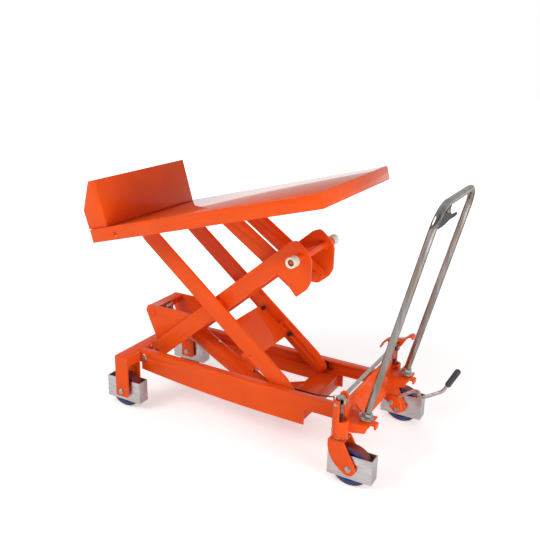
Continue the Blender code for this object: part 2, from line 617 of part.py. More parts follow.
# ---------------------------------------------------------------- tilting platform
def on_deck(piece):
    """Turns a piece drawn level, with its origin at the deck's lower front edge, to the tilted deck."""
    piece.data.transform(Matrix.Translation((DECK_CORNER[0], 0, DECK_CORNER[1]))
                         @ Matrix.Rotation(-TILT, 4, "Y"))
    return piece


def deck_place(x, z):
    """Where a point of the table lies along and above the deck's lower front edge."""
    dx, dz = x - DECK_CORNER[0], z - DECK_CORNER[1]
    return dx * cos(TILT) + dz * sin(TILT), dz * cos(TILT) - dx * sin(TILT)


def deck():
    """Folded tray with its lip all round, hinge lugs, tilt pin lugs and the roller tracks."""
    half = DECK_WIDTH / 2
    tray = block("platform_deck", (0, DECK_LENGTH), (-half, half), (0, DECK_DEPTH), bevel=0.0035)
    hollow = block("hollow", (SHEET, DECK_LENGTH - SHEET), (SHEET - half, half - SHEET),
                   (-0.01, DECK_DEPTH - SHEET))
    seat = block("seat", (-0.02, STOP_FOOT + 0.0005), (-0.3, 0.3),
                 (DECK_DEPTH - SEAT_DEPTH, DECK_DEPTH + 0.01))
    tray = shaped(shaped(tray, cut=[hollow]), cut=[seat])
    hinge, pin = deck_place(*PLATFORM_PIVOT), deck_place(*STRUT_HEAD)
    under = DECK_DEPTH - SHEET / 2
    pieces = []
    for _, side in SIDES:
        hinge_lug = rounded([(hinge[0] - 0.018, under, 0), (hinge[0] + 0.018, under, 0),
                             (hinge[0] + 0.014, hinge[1] - 0.015, 0.013),
                             (hinge[0] - 0.014, hinge[1] - 0.015, 0.013)])
        for y in (0.1030, 0.1220):
            pieces.append(plate("hinge_lug", [hinge_lug, circle(hinge, HINGE_RADIUS + GAP)],
                                *spread(side, y, y + 0.005)))
        pin_lug = rounded([(pin[0] - 0.020, under, 0), (pin[0] + 0.020, under, 0),
                           (pin[0] + 0.010, pin[1] - 0.011, 0.009), (pin[0] - 0.010, pin[1] - 0.011, 0.009)])
        for y in (0.0480, 0.0675):
            pieces.append(plate("pin_lug", [pin_lug, circle(pin, TILT_PIN_RADIUS + GAP, 16)],
                                *spread(side, y, y + 0.0045)))
        track_x = (0.480, DECK_LENGTH - SHEET / 2)
        pieces.append(block("track_web", track_x, spread(side, 0.1600, 0.1640), (0.0056, under)))
        pieces.append(block("track_foot", track_x, spread(side, 0.1240, 0.1640), (0.0056, 0.0096)))
    tray = shaped(tray, cut=[cross_bar("lip_hole", hinge, -0.26, 0.26, 0.008)])
    return on_deck(shaped(tray, add=pieces))


def load_stop():
    """Folded stop across the front end of the deck, open underneath."""
    foot = DECK_DEPTH - SEAT_DEPTH + GAP
    outside = [(-0.009, foot), (-0.0135, 0.110), (0.037, 0.200), (0.0685, 0.2004), (STOP_FOOT, foot)]
    wall = 0.003
    inside = [(-0.009 + wall, foot - 0.01), (-0.0135 + wall, 0.1093), (0.0387, 0.200 - wall),
              (0.0685 - wall, 0.2004 - wall), (STOP_FOOT - wall, foot - 0.01)]
    half = 0.241
    box = plate("load_stop", [outside], -half, half)
    hollow = plate("hollow", [inside], wall - half, half - wall)
    return on_deck(shaped(box, cut=[hollow]))


def tilt_strut(side_name, side):
    """Flat strut from the deep plate of the inner arm to the slot that lifts the deck's tilt pin."""
    length = hypot(STRUT_FOOT[0] - STRUT_HEAD[0], STRUT_FOOT[1] - STRUT_HEAD[1])
    tip = -SLOT_LENGTH - TILT_PIN_RADIUS - 0.005
    outline = slanted(STRUT_FRAME, [
        (tip, -0.0125, 0.009), (-0.030, -0.0300, 0.014),
        (length + 0.004, -0.0300, 0.02), (length + 0.024, -0.016, 0.014), (length + 0.024, 0.016, 0.014),
        (length + 0.004, 0.0300, 0.02), (-0.030, 0.0300, 0.014), (tip, 0.0125, 0.009)])
    slot_end = TILT_PIN_RADIUS + GAP
    slot = slanted(STRUT_FRAME, [(-SLOT_LENGTH - slot_end, -SLOT_HALF, 0.006), (slot_end, -SLOT_HALF, 0.006),
                                 (slot_end, SLOT_HALF, 0.006), (-SLOT_LENGTH - slot_end, SLOT_HALF, 0.006)])
    return plate("tilt_strut_" + side_name, [outline, slot, circle(STRUT_FOOT, 0.0084)],
                 *spread(side, STRUT_Y - ARM_THICK / 2, STRUT_Y + ARM_THICK / 2))


# ---------------------------------------------------------------- hydraulics
def on_ram(s, p):
    """(x, z) at a distance from the ram's foot, and above its axis."""
    return RAM_FROM_HEAD(RAM_LENGTH - s, p)


def along_ram(s, p=0.0, y=0.0):
    x, z = on_ram(s, p)
    return x, y, z


def ram_barrel():
    """Barrel with its foot eye, and the hand pump's cylinder on top of it."""
    barrel = bar("ram_barrel", along_ram(0.022), along_ram(0.400), BARREL_RADIUS, ORANGE, 36)
    foot = plate("foot", [circle(RAM_FOOT, 0.019, 24)], -0.0335, 0.0335)
    neck_corners = (0, -0.015), (0.04, -0.015), (0.04, 0.015), (0, 0.015)
    neck = plate("neck", [[on_ram(s, p) for s, p in neck_corners]], -0.0295, 0.0295)
    gland = bar("gland", along_ram(0.392), along_ram(0.404), 0.022, sides=28)
    pump = bar("pump", along_ram(0.075, PUMP_OFFSET), along_ram(0.150, PUMP_OFFSET), 0.012, sides=20)
    saddle = plate("saddle", [[on_ram(s, p) for s, p in
                               ((0.085, 0.02), (0.140, 0.02), (0.140, PUMP_OFFSET), (0.085, PUMP_OFFSET))]],
                   -0.011, 0.011)
    barrel = shaped(barrel, add=[foot, neck, gland, saddle, pump])
    bores = [bar("bore", along_ram(0.215), along_ram(0.42), BORE_RADIUS),
             bar("pump_bore", along_ram(0.06, PUMP_OFFSET), along_ram(0.135, PUMP_OFFSET), 0.0056, sides=16),
             cross_bar("eye", RAM_FOOT, -0.05, 0.05, 0.0085)]
    return shaped(barrel, cut=bores)


def ram_rod():
    rod = bar("ram_rod", along_ram(0.280), along_ram(RAM_LENGTH - 0.012), RAM_RADIUS, SILVER)
    eye = cross_bar("eye", RAM_HEAD, -0.020, 0.020, 0.0190)
    hole = cross_bar("hole", RAM_HEAD, -0.03, 0.03, 0.008 + 0.0028)
    return shaped(shaped(rod, add=[eye]), cut=[hole])


def pump_plunger():
    ends = along_ram(0.078, PUMP_OFFSET), along_ram(0.010, PUMP_OFFSET)
    rod = bar("pump_plunger", *ends, 0.005, SILVER, 16)
    cap = bar("cap", along_ram(0.006, PUMP_OFFSET), along_ram(0.0115, PUMP_OFFSET), 0.0105, sides=20)
    return shaped(rod, add=[cap])


def pump_spring():
    first, last, turns, wire = 0.0135, 0.0730, 6, 0.0012
    steps = turns * 9
    points = []
    for i in range(steps + 1):
        turn, s = 2 * pi * i * turns / steps, first + (last - first) * i / steps
        points.append(along_ram(s, PUMP_OFFSET + 0.0080 * sin(turn), 0.0080 * cos(turn)))
    return tube_along("pump_spring", points, wire, SILVER, 2)


# ---------------------------------------------------------------- pedals, brake and lever
def pedal_arm():
    outline = rounded([(0.436, 0.166, 0.012), (0.452, 0.177, 0.012), (0.474, 0.166, 0.010),
                       (0.489, 0.132, 0.014), (0.470, 0.114, 0.014), (0.444, 0.136, 0.012)])
    holes = circle(PEDAL_AXIS, 0.006 + GAP), circle((0.4695, 0.1330), 0.004, 16)
    return plate("pedal_arm", [outline, *holes], PEDAL_ARM_Y, PEDAL_ARM_Y + 0.005)


def smooth_route(corners, steps=5):
    """Points on a smooth curve through the given ones."""
    ends = [corners[0] * 2 - corners[1], *corners, corners[-1] * 2 - corners[-2]]
    points = []
    for a, b, c, d in zip(ends, ends[1:], ends[2:], ends[3:]):
        for i in range(steps):
            t = i / steps
            points.append(0.5 * (2 * b + (c - a) * t + (2 * a - 5 * b + 4 * c - d) * t * t
                                 + (3 * b - a - 3 * c + d) * t ** 3))
    return [*points, corners[-1]]


def pedal_rod():
    y_back, y_front = PEDAL_ARM_Y + 0.0108, 0.012
    route = [(0.460, y_back, 0.1665), (0.488, y_back, 0.1865), (0.514, y_back, 0.2045),
             (0.531, y_back - 0.006, 0.2100), (0.538, 0.033, 0.2085), (0.543, y_front + 0.006, 0.2070),
             (0.560, y_front, 0.2140), (0.592, y_front, 0.2340), (0.612, y_front, 0.2480),
             (0.6235, y_front, 0.2660), (0.6530, y_front, 0.3260)]
    return tube_along("pedal_rod", smooth_route([Vector(p) for p in route], 3), 0.0054, SILVER, 3)


def pedal_grip():
    start, end = Vector((0.6262, 0.012, 0.2715)), Vector((0.6545, 0.012, 0.3291))
    grip = bar("pedal_grip", start, end, 0.0092, RUBBER, 24)
    bore = bar("bore", start - (end - start) * 0.2, end - (end - start) * 0.05, 0.0054 + GAP, sides=16)
    return shaped(grip, cut=[bore])


def brake_shaft():
    """Shaft across the rear with a cam above each swivel castor's brake rod."""
    shaft = cross_bar("brake_shaft", BRAKE_AXIS, -0.2330, 0.2560, 0.006, SILVER)
    lobe_angle, lobe_reach = radians(71), 0.0125
    lobe = (BRAKE_AXIS[0] + lobe_reach * sin(lobe_angle), BRAKE_AXIS[1] - lobe_reach * cos(lobe_angle))
    cams = []
    for _, side in SIDES:
        ys = spread(side, SWIVEL_Y - 0.0065, SWIVEL_Y + 0.0065)
        cams += [cross_bar("cam", BRAKE_AXIS, *ys, 0.013), cross_bar("lobe", lobe, *ys, 0.009)]
    return shaped(shaft, add=cams)


def brake_pedal():
    """Two-winged foot pedal on the outer end of the brake shaft."""
    top = smooth_route([Vector(p) for p in ((0.3330, 0.2460), (0.3430, 0.2670), (0.3620, 0.2795),
                                            (0.3890, 0.2830), (0.4110, 0.2890), (0.4290, 0.3055),
                                            (0.4410, 0.3080), (0.4485, 0.2990))], 3)
    under = []
    for before, here, after in zip([top[0], *top], top, [*top[1:], top[-1]]):
        along = (after - before).normalized()
        under.append(here + Vector((along.y, -along.x)) * 0.0050)
    strip = plate("brake_pedal", [[tuple(p) for p in (*top, *reversed(under))]], 0.2225, 0.2555)
    cheek = rounded([(0.348, 0.2640, 0.004), (0.360, 0.2755, 0), (0.389, 0.2800, 0), (0.411, 0.2860, 0),
                     (0.421, 0.2920, 0.003), (0.399, 0.2525, 0.008), (0.370, 0.2510, 0.008)])
    cheek = plate("cheek", [cheek], 0.2475, 0.2555)
    bore = cross_bar("bore", BRAKE_AXIS, 0.20, 0.30, 0.006 + GAP)
    return shaped(shaped(strip, add=[cheek]), cut=[bore])


def brake_rod(name, side):
    """Rod through the hollow kingpin, from the cam down to the wheel, with its boot on the housing."""
    at = lambda z: (KINGPIN_X, side * SWIVEL_Y, z)
    rod = bar(name, at(0.1172), at(0.2470), ROD_RADIUS, SILVER, 16)
    boot = bar("boot", at(0.2010), at(0.2165), 0.0075, sides=20, end_radius=0.0055)
    return shaped(rod, add=[boot])


def release_lever():
    """Flat lever below the handle's top bar, with a finger arm towards the right-hand tube."""
    outline = rounded([(-0.0950, 0.6440, 0.006), (-0.0740, 0.6590, 0.008), (-0.0227, 0.6560, 0.008),
                       (0.0120, 0.6450, 0.010), (0.0270, 0.6180, 0.012), (0.0620, 0.5990, 0.010),
                       (0.1300, 0.5930, 0.004), (0.1300, 0.5830, 0.004), (0.0500, 0.5850, 0.012),
                       (0.0100, 0.5780, 0.010), (-0.0500, 0.5790, 0.010), (-0.0720, 0.6010, 0.010)])
    return lay_on_handle(plate("release_lever", [outline, circle(LEVER_PIVOT, 0.0044, 16)],
                               -0.0172, -0.0125, BLACK, "XY"))


def cable_lead():
    """The short visible stretch of the release cable, from the lever to the hole in the left tube."""
    ends = [on_handle(-0.0704, 0.5870, -0.0148), on_handle(-0.1000, 0.5800, -0.0150),
            on_handle(-0.1300, 0.5770, -0.0140), on_handle(-0.1608, 0.5790, -0.0040)]
    return tube_along("cable_lead", smooth_route(ends, 4), 0.0012, BLACK, 2)


def release_cable():
    """The cable's lower run, from the end plate over the cross member to the ram's foot bearing."""
    route = [(END_PLATE_X - GAP, -0.0620, 0.1850), (0.3640, -0.0618, 0.1838), (0.3200, -0.0580, 0.1760),
             (0.2800, -0.0520, 0.1650), (0.2500, -0.0480, 0.1580), (0.2260, -0.0460, 0.1545),
             (0.2000, -0.0460, 0.1541), (0.1750, -0.0465, 0.1541), (0.1500, -0.0480, 0.1541),
             (0.1320, -0.0510, 0.1500), (0.1150, -0.0560, 0.1390), (0.0960, -0.0600, 0.1225),
             (0.0800, -0.0585, 0.1085), (0.0720, -0.0520, 0.1015), (0.0700, -0.0412, 0.0990)]
    return tube_along("release_cable", smooth_route([Vector(p) for p in route], 3), 0.0022, BLACK, 2)


# ---------------------------------------------------------------- assembly
body("base")
bodies["base"][0].location = (CENTRE_SHIFT, 0, 0)
put("base", *[side_rail(*pair) for pair in SIDES], front_cross_frame(), cross_member(), rear_frame(),
    headed_pin("arm_pivot_shaft", ARM_PIVOT, RAIL_OUTER + GAP, SHAFT_RADIUS, 0.0125, 0.005),
    push_handle(), release_cable(), cable_lead())

body("inner_arms", (ARM_PIVOT[0], 0, ARM_PIVOT[1]), "base")
put("inner_arms", *[inner_arm(*pair) for pair in SIDES], roller_shaft(), lift_bracket(),
    headed_pin("ram_pin", RAM_HEAD, 0.0779, 0.008, 0.0105, finish=ORANGE))
body("outer_arms", (CENTRE_PIVOT[0], 0, CENTRE_PIVOT[1]), "inner_arms")
put("outer_arms", *[outer_arm(*pair) for pair in SIDES], torsion_plate())
body("platform", (PLATFORM_PIVOT[0], 0, PLATFORM_PIVOT[1]), "outer_arms")
put("platform", deck(), load_stop(), headed_pin("hinge_shaft", PLATFORM_PIVOT, 0.1275, HINGE_RADIUS, 0.011),
    headed_pin("tilt_pin", STRUT_HEAD, 0.0725, TILT_PIN_RADIUS, 0.007, 0.003))
body("tilt_struts", (STRUT_FOOT[0], 0, STRUT_FOOT[1]), "inner_arms")
put("tilt_struts", *[tilt_strut(*pair) for pair in SIDES])

body("ram_body", (RAM_FOOT[0], 0, RAM_FOOT[1]), "base")
put("ram_body", ram_barrel(), pump_spring())
body("ram_piston", (RAM_HEAD[0], 0, RAM_HEAD[1]), "ram_body")
put("ram_piston", ram_rod())
body("pump", along_ram(0.0, PUMP_OFFSET), "ram_body")
put("pump", pump_plunger())

body("pedal", (PEDAL_AXIS[0], PEDAL_ARM_Y, PEDAL_AXIS[1]), "base")
put("pedal", pedal_arm(), pedal_rod(), pedal_grip())
body("brake", (BRAKE_AXIS[0], 0, BRAKE_AXIS[1]), "base")
put("brake", brake_shaft(), brake_pedal())
body("lever", on_handle(*LEVER_PIVOT, -0.015), "base")
put("lever", release_lever())

for side_name, side in SIDES:
    put("base", handle_flange("handle_flange_" + side_name, side))

    y = side * FIXED_Y
    put("base", guard("front_guard_" + side_name, FIXED_X, y),
        axle("front_axle_" + side_name, FIXED_X, y, LEG_OUTER))
    wheel = "front_wheel_" + side_name
    body(wheel, (FIXED_X, y, WHEEL_RADIUS), "base")
    put(wheel, tread("front_tread_" + side_name, FIXED_X, y), core("front_core_" + side_name, FIXED_X, y))

    y = side * SWIVEL_Y
    swivel = "swivel_" + side_name
    body(swivel, (KINGPIN_X, y, 0), "base")
    put(swivel, fork("swivel_fork_" + side_name, y), guard("rear_guard_" + side_name, SWIVEL_AXLE_X, y),
        axle("rear_axle_" + side_name, SWIVEL_AXLE_X, y, 0.031))
    wheel = "rear_wheel_" + side_name
    body(wheel, (SWIVEL_AXLE_X, y, WHEEL_RADIUS), swivel)
    put(wheel, tread("rear_tread_" + side_name, SWIVEL_AXLE_X, y),
        core("rear_core_" + side_name, SWIVEL_AXLE_X, y))
    plunger = "brake_plunger_" + side_name
    body(plunger, (KINGPIN_X, y, 0), "base")
    put(plunger, brake_rod("brake_rod_" + side_name, side))

    upper_place = INNER_FRAME(*UPPER_ROLLER)
    for which, parent, place, ys, radius, bore, finish in (
            ("deck_roller_", "inner_arms", upper_place, (0.1270, 0.1570), 0.0175, 0.0104, NYLON),
            ("rail_roller_", "outer_arms", LOWER_ROLLER, (0.1216, 0.1464), 0.0168, 0.0094, BLACK)):
        wheel = which + "wheel_" + side_name
        body(which + side_name, (place[0], 0, place[1]), parent)
        put(which + side_name, roller(wheel, place, spread(side, *ys), radius, bore, finish))

construction.hide_render = True
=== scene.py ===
"""Looks of the mobile tilting scissor lift table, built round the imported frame.

Metres, in the frame's own axes: +X towards the push handle, +Z up. Places that the part's
design measures from the middle of the wheelbase go through at(), which adds the same shift.
"""

import json
from math import cos, pi, radians, sin

import bmesh
import bpy
from mathutils import Matrix, Vector

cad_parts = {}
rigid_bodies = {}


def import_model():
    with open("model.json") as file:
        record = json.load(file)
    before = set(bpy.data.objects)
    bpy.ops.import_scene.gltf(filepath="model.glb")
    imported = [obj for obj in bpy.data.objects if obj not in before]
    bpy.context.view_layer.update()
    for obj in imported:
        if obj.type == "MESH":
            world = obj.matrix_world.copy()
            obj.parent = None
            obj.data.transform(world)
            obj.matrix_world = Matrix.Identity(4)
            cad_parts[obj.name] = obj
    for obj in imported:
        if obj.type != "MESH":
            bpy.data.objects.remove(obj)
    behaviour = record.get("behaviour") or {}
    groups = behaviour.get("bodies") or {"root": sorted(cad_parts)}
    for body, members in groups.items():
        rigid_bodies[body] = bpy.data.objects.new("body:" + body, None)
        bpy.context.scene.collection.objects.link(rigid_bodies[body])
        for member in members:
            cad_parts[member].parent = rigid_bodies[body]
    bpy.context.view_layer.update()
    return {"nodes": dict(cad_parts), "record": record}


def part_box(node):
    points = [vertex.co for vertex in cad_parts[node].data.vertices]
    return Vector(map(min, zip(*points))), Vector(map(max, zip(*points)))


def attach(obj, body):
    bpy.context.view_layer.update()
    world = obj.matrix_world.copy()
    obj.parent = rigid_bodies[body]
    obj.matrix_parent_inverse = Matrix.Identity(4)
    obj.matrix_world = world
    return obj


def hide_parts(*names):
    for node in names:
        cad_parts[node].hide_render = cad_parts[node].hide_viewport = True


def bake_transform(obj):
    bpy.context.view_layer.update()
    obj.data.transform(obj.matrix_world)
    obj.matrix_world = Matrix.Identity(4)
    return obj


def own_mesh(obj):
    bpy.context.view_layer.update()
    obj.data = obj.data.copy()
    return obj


for old in list(bpy.data.objects):
    bpy.data.objects.remove(old, do_unlink=True)

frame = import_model()
nodes = frame["nodes"]
SHIFT = -0.0563                 # where the middle of the wheelbase lies along the frame's X
SIDES = (("left", -1), ("right", 1))


def at(x, y, z):
    """A place from the part's design, in the frame."""
    return Vector((x + SHIFT, y, z))


# ---------------------------------------------------------------- materials
def principled(name, colour, roughness, metallic=0.0, **sockets):
    made = bpy.data.materials.new(name)
    made.use_nodes = True
    shader = made.node_tree.nodes["Principled BSDF"]
    shader.inputs["Base Color"].default_value = (*colour, 1.0)
    shader.inputs["Roughness"].default_value = roughness
    shader.inputs["Metallic"].default_value = metallic
    for key, value in sockets.items():
        shader.inputs[key.replace("_", " ")].default_value = value
    return made, made.node_tree, shader


def noise(tree, scale, detail=3.0, stretch=(1.0, 1.0, 1.0)):
    """Noise in the object's own space, stretched along chosen axes."""
    coords = tree.nodes.new("ShaderNodeTexCoord")
    mapping = tree.nodes.new("ShaderNodeMapping")
    mapping.inputs["Scale"].default_value = stretch
    texture = tree.nodes.new("ShaderNodeTexNoise")
    texture.inputs["Scale"].default_value = scale
    texture.inputs["Detail"].default_value = detail
    tree.links.new(coords.outputs["Object"], mapping.inputs["Vector"])
    tree.links.new(mapping.outputs["Vector"], texture.inputs["Vector"])
    return texture.outputs["Fac"]


def spread_to(tree, factor, low, high, start=0.3, end=0.7):
    """Maps a factor's start..end to low..high."""
    ramp = tree.nodes.new("ShaderNodeMapRange")
    ramp.inputs["From Min"].default_value = start
    ramp.inputs["From Max"].default_value = end
    ramp.inputs["To Min"].default_value = low
    ramp.inputs["To Max"].default_value = high
    tree.links.new(factor, ramp.inputs["Value"])
    return ramp.outputs["Result"]


def tinted(tree, factor, first, second, start=0.35, end=0.65):
    """A colour that runs from first to second with a factor."""
    ramp = tree.nodes.new("ShaderNodeValToRGB")
    ramp.color_ramp.elements[0].position, ramp.color_ramp.elements[1].position = start, end
    ramp.color_ramp.elements[0].color = (*first, 1.0)
    ramp.color_ramp.elements[1].color = (*second, 1.0)
    tree.links.new(factor, ramp.inputs["Fac"])
    return ramp.outputs["Color"]


def surfaced(tree, shader, colour, roughness):
    """Links a colour and a roughness that vary over the surface."""
    tree.links.new(colour, shader.inputs["Base Color"])
    tree.links.new(roughness, shader.inputs["Roughness"])


def bumped(tree, shader, factor, strength, distance):
    bump = tree.nodes.new("ShaderNodeBump")
    bump.inputs["Strength"].default_value = strength
    bump.inputs["Distance"].default_value = distance
    tree.links.new(factor, bump.inputs["Height"])
    tree.links.new(bump.outputs["Normal"], shader.inputs["Normal"])


def scaled(colour, share):
    return tuple(c * share for c in colour)


def orange_paint():
    """Gloss enamel with faint orange peel and a slightly uneven coat."""
    colour = (0.880, 0.094, 0.009)
    made, tree, shader = principled("orange_paint", colour, 0.42, Specular_IOR_Level=0.06, Coat_Weight=0.9,
                                    Coat_Roughness=0.03, Coat_IOR=1.23)
    surfaced(tree, shader, tinted(tree, noise(tree, 9.0, 2.0), scaled(colour, 0.93), colour),
             spread_to(tree, noise(tree, 40.0, 4.0), 0.31, 0.43))
    bumped(tree, shader, noise(tree, 420.0, 2.0), 0.06, 0.0003)
    return made


def brushed_steel():
    """Sheet steel brushed along the table, with soft smears."""
    colour = (0.74, 0.74, 0.75)
    made, tree, shader = principled("brushed_guard", colour, 0.30, 1.0)
    grain = noise(tree, 60.0, 5.0, (0.5, 14.0, 14.0))
    surfaced(tree, shader, tinted(tree, grain, scaled(colour, 0.80), scaled(colour, 1.12)),
             spread_to(tree, noise(tree, 18.0, 3.0), 0.22, 0.42))
    bumped(tree, shader, grain, 0.12, 0.0003)
    return made


def zinc():
    """Zinc-plated steel, a little patchy."""
    colour = (0.60, 0.59, 0.56)
    made, tree, shader = principled("zinc_steel", colour, 0.34, 1.0)
    surfaced(tree, shader, tinted(tree, noise(tree, 90.0, 4.0), scaled(colour, 0.82), colour),
             spread_to(tree, noise(tree, 60.0, 3.0), 0.27, 0.42))
    return made


def polished_tube():
    """Drawn tube with faint upright streaks; its reflections are the studio's own."""
    colour = (0.40, 0.38, 0.36)
    made, tree, shader = principled("polished_tube", colour, 0.14, 1.0)
    streaks = noise(tree, 60.0, 3.0, (1.0, 1.0, 0.06))
    surfaced(tree, shader, tinted(tree, streaks, (0.30, 0.25, 0.21), colour, 0.40, 0.60),
             spread_to(tree, noise(tree, 30.0, 5.0, (1.0, 1.0, 0.3)), 0.09, 0.22))
    bumped(tree, shader, noise(tree, 500.0, 3.0, (1.0, 1.0, 0.08)), 0.03, 0.0002)
    return made


def moulded(name, colour, roughness, grain_scale, grain_depth, **sockets):
    """Moulded plastic or rubber with a fine grain and a little unevenness."""
    made, tree, shader = principled(name, colour, roughness, 0.0, **sockets)
    surfaced(tree, shader, tinted(tree, noise(tree, 35.0, 4.0), scaled(colour, 0.82), scaled(colour, 1.08)),
             spread_to(tree, noise(tree, 80.0, 3.0), roughness - 0.06, roughness + 0.06))
    bumped(tree, shader, noise(tree, grain_scale, 2.0), 0.25, grain_depth)
    return made


MATERIALS = {
    "orange_paint": orange_paint(),
    "brushed_guard": brushed_steel(),
    "zinc_steel": zinc(),
    "polished_tube": polished_tube(),
    "red_brown_tread": moulded("red_brown_tread", (0.190, 0.030, 0.024), 0.38, 500.0, 0.0003),
    "blue_core": moulded("blue_core", (0.012, 0.052, 0.230), 0.34, 700.0, 0.0002, Coat_Weight=0.15),
    "white_nylon": moulded("white_nylon", (0.78, 0.72, 0.60), 0.42, 600.0, 0.0002, Subsurface_Weight=0.05),
    "black_plastic": moulded("black_plastic", (0.020, 0.021, 0.023), 0.42, 900.0, 0.0002),
    "grey_grip": moulded("grey_grip", (0.050, 0.052, 0.055), 0.70, 450.0, 0.0006),
}


# ---------------------------------------------------------------- mesh tools
SHARP_ANGLE = radians(32)
WELD_STEP, WELD_RIPPLE, WELD_PITCH, WELD_SIDES = 0.0013, 0.14, 0.0052, 8


def smooth(mesh):
    """Shades smoothly, apart from the sharp edges."""
    mesh.shade_smooth()
    mesh.set_sharp_from_angle(angle=SHARP_ANGLE)


def piece(name, shape, slot, body, replaced=(), bevel=0.0):
    """Makes a finished piece from a bmesh: its material, its replaced nodes, and its body unless None."""
    mesh = bpy.data.meshes.new(name)
    bmesh.ops.remove_doubles(shape, verts=shape.verts, dist=1e-6)
    bmesh.ops.recalc_face_normals(shape, faces=shape.faces)
    shape.to_mesh(mesh)
    shape.free()
    mesh.materials.append(MATERIALS[slot])
    smooth(mesh)
    made = bpy.data.objects.new(name, mesh)
    bpy.context.scene.collection.objects.link(made)
    if bevel:
        add_bevel(made, bevel)
    if body:
        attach(made, body)
    if replaced:
        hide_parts(*replaced)
    return made


def add_bevel(made, width):
    edge = made.modifiers.new("edges", "BEVEL")
    edge.width = width
    edge.segments = 2
    edge.limit_method = "ANGLE"
    edge.angle_limit = SHARP_ANGLE
    edge.use_clamp_overlap = True
    edge.harden_normals = True


def turn_to(axis):
    return Vector(axis).to_track_quat("Z", "Y").to_matrix().to_4x4()


def lathe(shape, profile, place, axis, steps=72, ring=True):
    """Adds a turned form: (radius, height) points about an axis, as a closed ring or from pole to pole."""
    start = len(shape.verts)
    rounds = []
    matrix = Matrix.Translation(place) @ turn_to(axis)
    for i in range(steps):
        a = 2 * pi * i / steps
        rounds.append([shape.verts.new(matrix @ Vector((r * cos(a), r * sin(a), h))) for r, h in profile])
    count = len(profile)
    last = count if ring else count - 1
    for i in range(steps):
        here, there = rounds[i], rounds[(i + 1) % steps]
        for k in range(last):
            j = (k + 1) % count
            shape.faces.new((here[k], there[k], there[j], here[j]))
    bmesh.ops.remove_doubles(shape, verts=shape.verts[start:] if start else shape.verts, dist=1e-7)
    return shape


def softened(profile, radius=0.0006, steps=3, closed=True):
    """A (radius, height) profile with its corners rounded."""
    points = []
    count = len(profile)
    for i, corner in enumerate(profile):
        here = Vector(corner)
        if not closed and i in (0, count - 1):
            points.append(tuple(here))
            continue
        before, after = Vector(profile[i - 1]) - here, Vector(profile[(i + 1) % count]) - here
        reach = min(radius, before.length * 0.45, after.length * 0.45)
        start, end = here + before.normalized() * reach, here + after.normalized() * reach
        for k in range(steps + 1):
            t = k / steps
            points.append(tuple((1 - t) ** 2 * start + 2 * t * (1 - t) * here + t * t * end))
    return points


def turned(name, profile, place, axis, slot, body, replaced=(), steps=72, radius=0.0006):
    """A turned piece with its corners rounded."""
    shape = lathe(bmesh.new(), softened(profile, radius), place, axis, steps)
    piece(name, shape, slot, body, replaced)


def solid_round(shape, place, axis, sections, steps=40):
    """Adds a solid of revolution from (radius, height) steps, closed at both ends on its axis."""
    profile = [(0.0, sections[0][1]), *sections, (0.0, sections[-1][1])]
    return lathe(shape, softened(profile, 0.0005, 2, closed=False), place, axis, steps, ring=False)


def hexagon(shape, place, axis, across, low, high):
    """Adds a bolt head or nut with a crowned top."""
    matrix = Matrix.Translation(place) @ turn_to(axis)
    radius, crown = across / cos(pi / 6) / 2, 0.0012
    layers = [(radius, low), (radius, high - crown), (radius * 0.90, high)]
    loops = []
    for r, h in layers:
        loops.append([shape.verts.new(matrix @ Vector((r * cos(pi / 3 * i), r * sin(pi / 3 * i), h)))
                      for i in range(6)])
    for lower, upper in zip(loops, loops[1:]):
        for i in range(6):
            j = (i + 1) % 6
            shape.faces.new((lower[i], lower[j], upper[j], upper[i]))
    shape.faces.new(list(reversed(loops[0])))
    shape.faces.new(loops[-1])
    return shape


def washer(shape, place, axis, radius, low, high, hole=0.0):
    profile = softened([(radius, high), (radius, low), (hole, low), (hole, high)], 0.0002, 2)
    return lathe(shape, profile, place, axis, 32)


def route(corners, steps=6):
    """Points on a smooth curve through the given ones."""
    corners = [Vector(c) for c in corners]
    ends = [corners[0] * 2 - corners[1], *corners, corners[-1] * 2 - corners[-2]]
    points = []
    for a, b, c, d in zip(ends, ends[1:], ends[2:], ends[3:]):
        for i in range(steps):
            t = i / steps
            points.append(0.5 * (2 * b + (c - a) * t + (2 * a - 5 * b + 4 * c - d) * t * t
                                 + (3 * b - a - 3 * c + d) * t ** 3))
    return [*points, corners[-1]]


def sweep(shape, points, radius, sides=16, ripple=0.0, pitch=0.0):
    """Adds a round tube along points, with an optional ripple, and closes its ends."""
    points = [Vector(p) for p in points]
    tangents = [(b - a).normalized() for a, b in zip([points[0], *points], [*points[1:], points[-1]])
                if (b - a).length > 0]
    while len(tangents) < len(points):
        tangents.append(tangents[-1])
    side = tangents[0].orthogonal().normalized()
    rings, travelled = [], 0.0
    for i, (point, tangent) in enumerate(zip(points, tangents)):
        if i:
            travelled += (point - points[i - 1]).length
        side = (side - tangent * side.dot(tangent)).normalized()
        other = tangent.cross(side)
        r = radius * (1 + ripple * sin(2 * pi * travelled / pitch)) if ripple else radius
        rings.append([shape.verts.new(point + (side * cos(a) + other * sin(a)) * r)
                      for a in (2 * pi * k / sides for k in range(sides))])
    for here, there in zip(rings, rings[1:]):
        for k in range(sides):
            j = (k + 1) % sides
            shape.faces.new((here[k], here[j], there[j], there[k]))
    shape.faces.new(list(reversed(rings[0])))
    shape.faces.new(rings[-1])
    return shape


def weld(shape, start, end, radius=0.0022):
    """Adds a straight weld bead with its scale-like ripple."""
    start, end = Vector(start), Vector(end)
    count = max(4, int((end - start).length / WELD_STEP))
    points = [start.lerp(end, i / count) for i in range(count + 1)]
    return sweep(shape, points, radius, WELD_SIDES, WELD_RIPPLE, WELD_PITCH)


